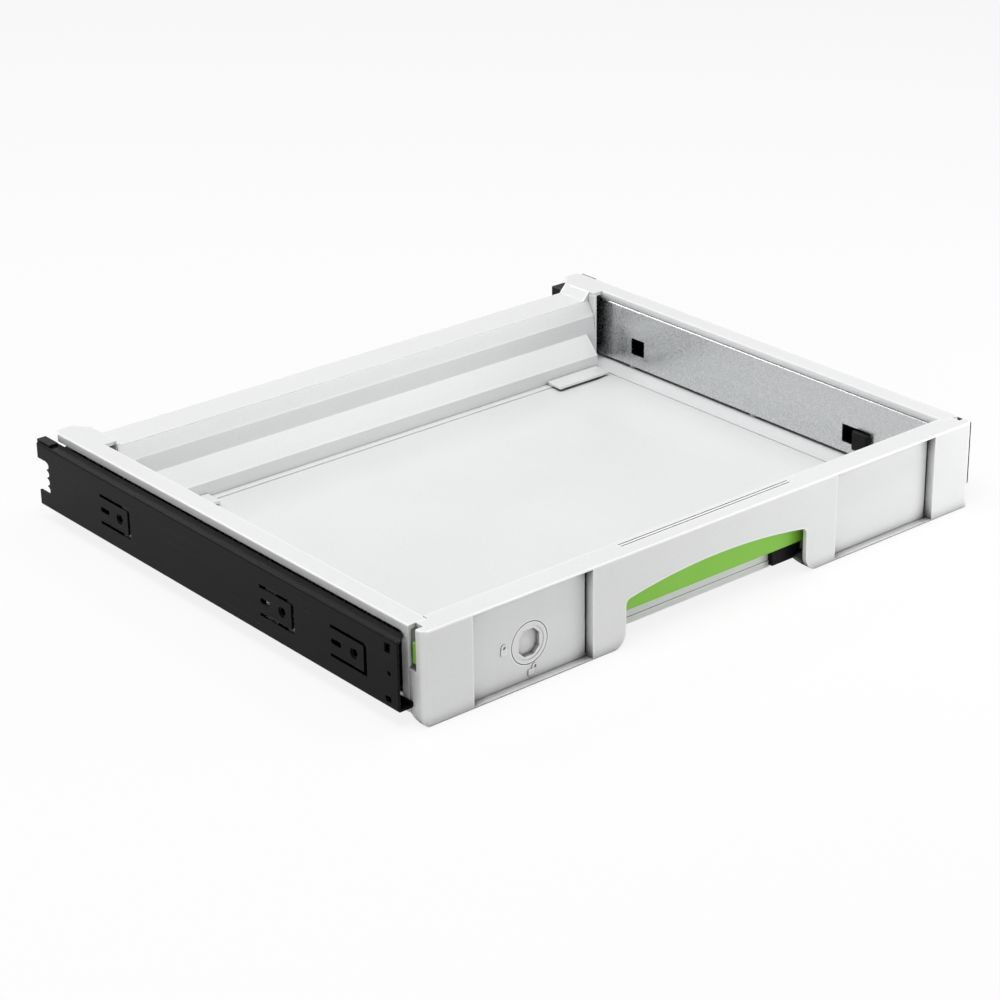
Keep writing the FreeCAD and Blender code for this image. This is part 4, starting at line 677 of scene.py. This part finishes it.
def copied(tree, shape, points, finish):
    """One smooth copy of a shape on each point, turned to its aim, real and finished."""
    smooth = add(tree, "GeometryNodeSetShadeSmooth", Geometry=shape, Shade_Smooth=True)
    aim = add(tree, "GeometryNodeInputNamedAttribute", {"data_type": "FLOAT_VECTOR"}, Name="aim")
    turn = add(tree, "FunctionNodeAlignRotationToVector", {"axis": "Z"},
               Vector=aim.outputs["Attribute"])
    copies = add(tree, "GeometryNodeInstanceOnPoints", Points=points,
                 Instance=smooth.outputs["Geometry"], Rotation=turn.outputs["Rotation"])
    real = add(tree, "GeometryNodeRealizeInstances", Geometry=copies.outputs["Instances"])
    return add(tree, "GeometryNodeSetMaterial", Geometry=real.outputs["Geometry"],
               Material=finish).outputs["Geometry"]


# %% Tree: screws on points
RECESS_SPAN = 1.1    # the cross recess, in head radii
TIP_SHARE = 0.7      # the shank's tip, in shank radii

screws, given, result = group_of(
    "Screws on points", "GeometryNodeTree",
    [("Geometry", "NodeSocketGeometry", None), ("Head Radius", "NodeSocketFloat", 3.2 * MM),
     ("Head Height", "NodeSocketFloat", 2.0 * MM), ("Shank Radius", "NodeSocketFloat", 1.6 * MM),
     ("Shank Length", "NodeSocketFloat", 8 * MM), ("Recess Width", "NodeSocketFloat", 0.9 * MM),
     ("Finish", "NodeSocketMaterial", None)],
    [("Geometry", "NodeSocketGeometry")],
)
head = add(screws, "GeometryNodeGroup", {"node_tree": domed_head},
           Radius=given["Head Radius"], Height=given["Head Height"])
recess_length = arithmetic(screws, "MULTIPLY", given["Head Radius"], RECESS_SPAN)
recessed = add(screws, "GeometryNodeMeshBoolean", {"operation": "DIFFERENCE"})
screws.links.new(head.outputs["Geometry"], recessed.inputs["Mesh 1"])
recess_width = given["Recess Width"]
for first, second in ((recess_length, recess_width), (recess_width, recess_length)):
    size = add(screws, "ShaderNodeCombineXYZ", X=first, Y=second, Z=given["Head Height"])
    bar = add(screws, "GeometryNodeMeshCube", Size=size.outputs["Vector"])
    raised = shifted(screws, bar.outputs["Mesh"], given["Head Height"])
    screws.links.new(raised, recessed.inputs["Mesh 2"])
shank = add(screws, "GeometryNodeMeshCone", Vertices=24, Radius_Top=given["Shank Radius"],
            Radius_Bottom=arithmetic(screws, "MULTIPLY", given["Shank Radius"], TIP_SHARE),
            Depth=given["Shank Length"])
lowered = shifted(screws, shank.outputs["Mesh"],
                  arithmetic(screws, "MULTIPLY", given["Shank Length"], -1.0))
whole = joined(screws, (recessed.outputs["Mesh"], lowered))
screws.links.new(copied(screws, whole, given["Geometry"], given["Finish"]), result["Geometry"])

# %% Tree: rivets on points
rivets, given, result = group_of(
    "Rivets on points", "GeometryNodeTree",
    [("Geometry", "NodeSocketGeometry", None), ("Head Radius", "NodeSocketFloat", 3.4 * MM),
     ("Head Height", "NodeSocketFloat", 1.0 * MM), ("Shank Radius", "NodeSocketFloat", 1.8 * MM),
     ("Grip", "NodeSocketFloat", 2.4 * MM), ("Finish", "NodeSocketMaterial", None)],
    [("Geometry", "NodeSocketGeometry")],
)
head = add(rivets, "GeometryNodeGroup", {"node_tree": domed_head},
           Radius=given["Head Radius"], Height=given["Head Height"])
half_grip = arithmetic(rivets, "MULTIPLY", given["Grip"], 0.5)
upper = shifted(rivets, head.outputs["Geometry"], half_grip)
lower = shifted(rivets, head.outputs["Geometry"],
                arithmetic(rivets, "MULTIPLY", half_grip, -1.0), math.pi)
shank = add(rivets, "GeometryNodeMeshCylinder", Vertices=24, Radius=given["Shank Radius"],
            Depth=given["Grip"])
whole = joined(rivets, (upper, lower, shank.outputs["Mesh"]))
rivets.links.new(copied(rivets, whole, given["Geometry"], given["Finish"]), result["Geometry"])


# %% [markdown]
# Each set of screws has its heads on one side of its node, so the head's seat is measured
# inward from the solid's own box. The aim points from the seat towards the head.

# %% Put in the screws
def screw_seats(node, axis, side_of, head_height):
    """The seat of each screw's head, the way that it looks, and its shank's length."""
    seats, aims, shank = [], [], 0.0
    for low, high in solids_of(node):
        seat, aim = (low + high) / 2, Vector()
        aim[axis] = side_of(seat)
        seat[axis] = (high if aim[axis] > 0 else low)[axis] - aim[axis] * head_height
        shank = high[axis] - low[axis] - head_height
        seats.append(seat)
        aims.append(aim)
    return seats, aims, shank


HEAD_HEIGHT = 2.0 * MM
for node, axis, side_of in (
    ("tray_screws", 2, lambda place: -1),
    ("panel_screws", 1, lambda place: 1),
    ("block_screws", 0, lambda place: 1 if place.x > 0 else -1),
):
    seats, aims, shank = screw_seats(node, axis, side_of, HEAD_HEIGHT)
    grow(node[:-1] + "_set", seats, screws, body_with(node), node, aims,
         Head_Height=HEAD_HEIGHT, Shank_Length=shank, Finish=plated_steel)
LOCK_HEAD_HEIGHT = 1.2 * MM
seats, aims, shank = screw_seats("lock_screw", 1, lambda place: 1, LOCK_HEAD_HEIGHT)
grow("lock_screw_set", seats, screws, body_with("lock_screw"), "lock_screw", aims,
     Head_Radius=2.8 * MM, Head_Height=LOCK_HEAD_HEIGHT, Shank_Radius=1.4 * MM,
     Shank_Length=shank, Finish=plated_steel)

# %% Put in the rivets
RIVET_HEAD_HEIGHT = 1.0 * MM
for side in ("left", "right"):
    node = f"{side}_middle_rivets"
    found = solids_of(node)
    length = found[0][1].x - found[0][0].x
    grow(f"{side}_middle_rivet_set", [middle(corners) for corners in found], rivets,
         body_with(node), node, [(1, 0, 0)] * len(found),
         Head_Height=RIVET_HEAD_HEIGHT, Grip=length - 2 * RIVET_HEAD_HEIGHT, Finish=black_steel)

# %% [markdown]
# ### Return springs
#
# The release bar lifts against two coil springs. The coils keep the shape of their solids, but a
# rigid piece can't be squeezed, so a copy stands for them.

# %% Copy the springs
coils = bpy.data.objects.new("return_spring_coils", nodes["return_springs"].data.copy())
bpy.context.scene.collection.objects.link(coils)
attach(coils, body_with("return_springs"))
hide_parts("return_springs")
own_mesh(coils)

# %% [markdown]
# ## Floor and light
#
# The unit lies on a plain white floor that runs out to a white background. The floor keeps a
# soft shadow. For camera rays it is partly lit by itself, so that it stays white without more
# light on the drawer.

# %% Lay the floor
FLOOR_LEVEL = -0.3 * MM
FLOOR_HALF = 6           # metres from its middle to each side
PAPER = (0.9, 0.9, 0.9, 1.0)
WHITE = (1.0, 1.0, 1.0, 1.0)
SELF_LIT = 0.85          # share of the floor's own light, as the camera sees it

floor_mesh = bpy.data.meshes.new("studio_floor")
corners = [(x * FLOOR_HALF, y * FLOOR_HALF, FLOOR_LEVEL)
           for x, y in ((-1, -1), (1, -1), (1, 1), (-1, 1))]
floor_mesh.from_pydata(corners, [], [(0, 1, 2, 3)])
floor = bpy.data.objects.new("studio_floor", floor_mesh)
bpy.context.scene.collection.objects.link(floor)

floor_finish = bpy.data.materials.new("studio_floor")
floor_finish.use_nodes = True
tree = floor_finish.node_tree
tree.nodes.remove(tree.nodes["Principled BSDF"])
paper = add(tree, "ShaderNodeBsdfDiffuse", Color=PAPER)
glow = add(tree, "ShaderNodeEmission", Color=WHITE, Strength=1.0)
ray = tree.nodes.new("ShaderNodeLightPath")
share = arithmetic(tree, "MULTIPLY", ray.outputs["Is Camera Ray"], SELF_LIT)
blend = add(tree, "ShaderNodeMixShader", Fac=share)
tree.links.new(paper.outputs[0], blend.inputs[1])
tree.links.new(glow.outputs[0], blend.inputs[2])
tree.links.new(blend.outputs[0], tree.nodes["Material Output"].inputs["Surface"])
floor_mesh.materials.append(floor_finish)
print("floor:", 2 * FLOOR_HALF, "m square")

# %% [markdown]
# The sky gives an even level. It is brighter for camera rays and in reflections, where it
# stands for the white walls of a studio, than it is as a light.

# %% Set the sky
SKY_LEVEL = 0.25
world = bpy.data.worlds.new("studio_sky")
bpy.context.scene.world = world
world.use_nodes = True
tree = world.node_tree
ray = tree.nodes.new("ShaderNodeLightPath")
seen = arithmetic(tree, "MAXIMUM", ray.outputs["Is Camera Ray"], ray.outputs["Is Transmission Ray"])
shown = arithmetic(tree, "MAXIMUM", seen, ray.outputs["Is Glossy Ray"])
level = spread(tree, shown, 0.0, 1.0, SKY_LEVEL, 1.0)
tree.links.new(level, tree.nodes["Background"].inputs["Strength"])
tree.nodes["Background"].inputs["Color"].default_value = WHITE
print("sky level:", SKY_LEVEL)

# %% [markdown]
# Five lamps do the rest. A wide one hangs overhead, like a window. One high on the right draws
# the right-hand edges, and a small one low in front gives the front its light from the right.
# A weak one on the left shows the black rail, and one high behind puts a bright line on the
# plate's top bend.


# %% Light the studio
def lamp(name, place, target, width, height, watts):
    """A rectangular lamp at a place, turned towards a target."""
    glow = bpy.data.lights.new(name, "AREA")
    glow.shape = "RECTANGLE"
    glow.size, glow.size_y, glow.energy = width, height, watts
    made = bpy.data.objects.new(name, glow)
    place = Vector(place)
    made.matrix_world = Matrix.Translation(place) @ (
        (place - Vector(target)).to_track_quat("Z", "Y").to_matrix().to_4x4())
    bpy.context.scene.collection.objects.link(made)
    print(f"{name}: {watts} W")


lamp("window_lamp", (-0.45, -0.15, 1.9), (0, 0, 0), 1.4, 1.0, 22)
lamp("edge_lamp", (0.9, -0.3, 1.3), (0, 0.05, 0.03), 0.6, 0.5, 4.5)
lamp("front_lamp", (0.55, -0.55, 0.12), (0.12, -0.18, 0.03), 0.4, 0.2, 1.6)
lamp("side_lamp", (-1.3, -0.5, 0.5), (-0.2, 0, 0.03), 0.6, 0.4, 1.6)
lamp("rim_lamp", (-0.6, 1.4, 1.25), (0.1, 0, 0.05), 0.5, 0.4, 5)
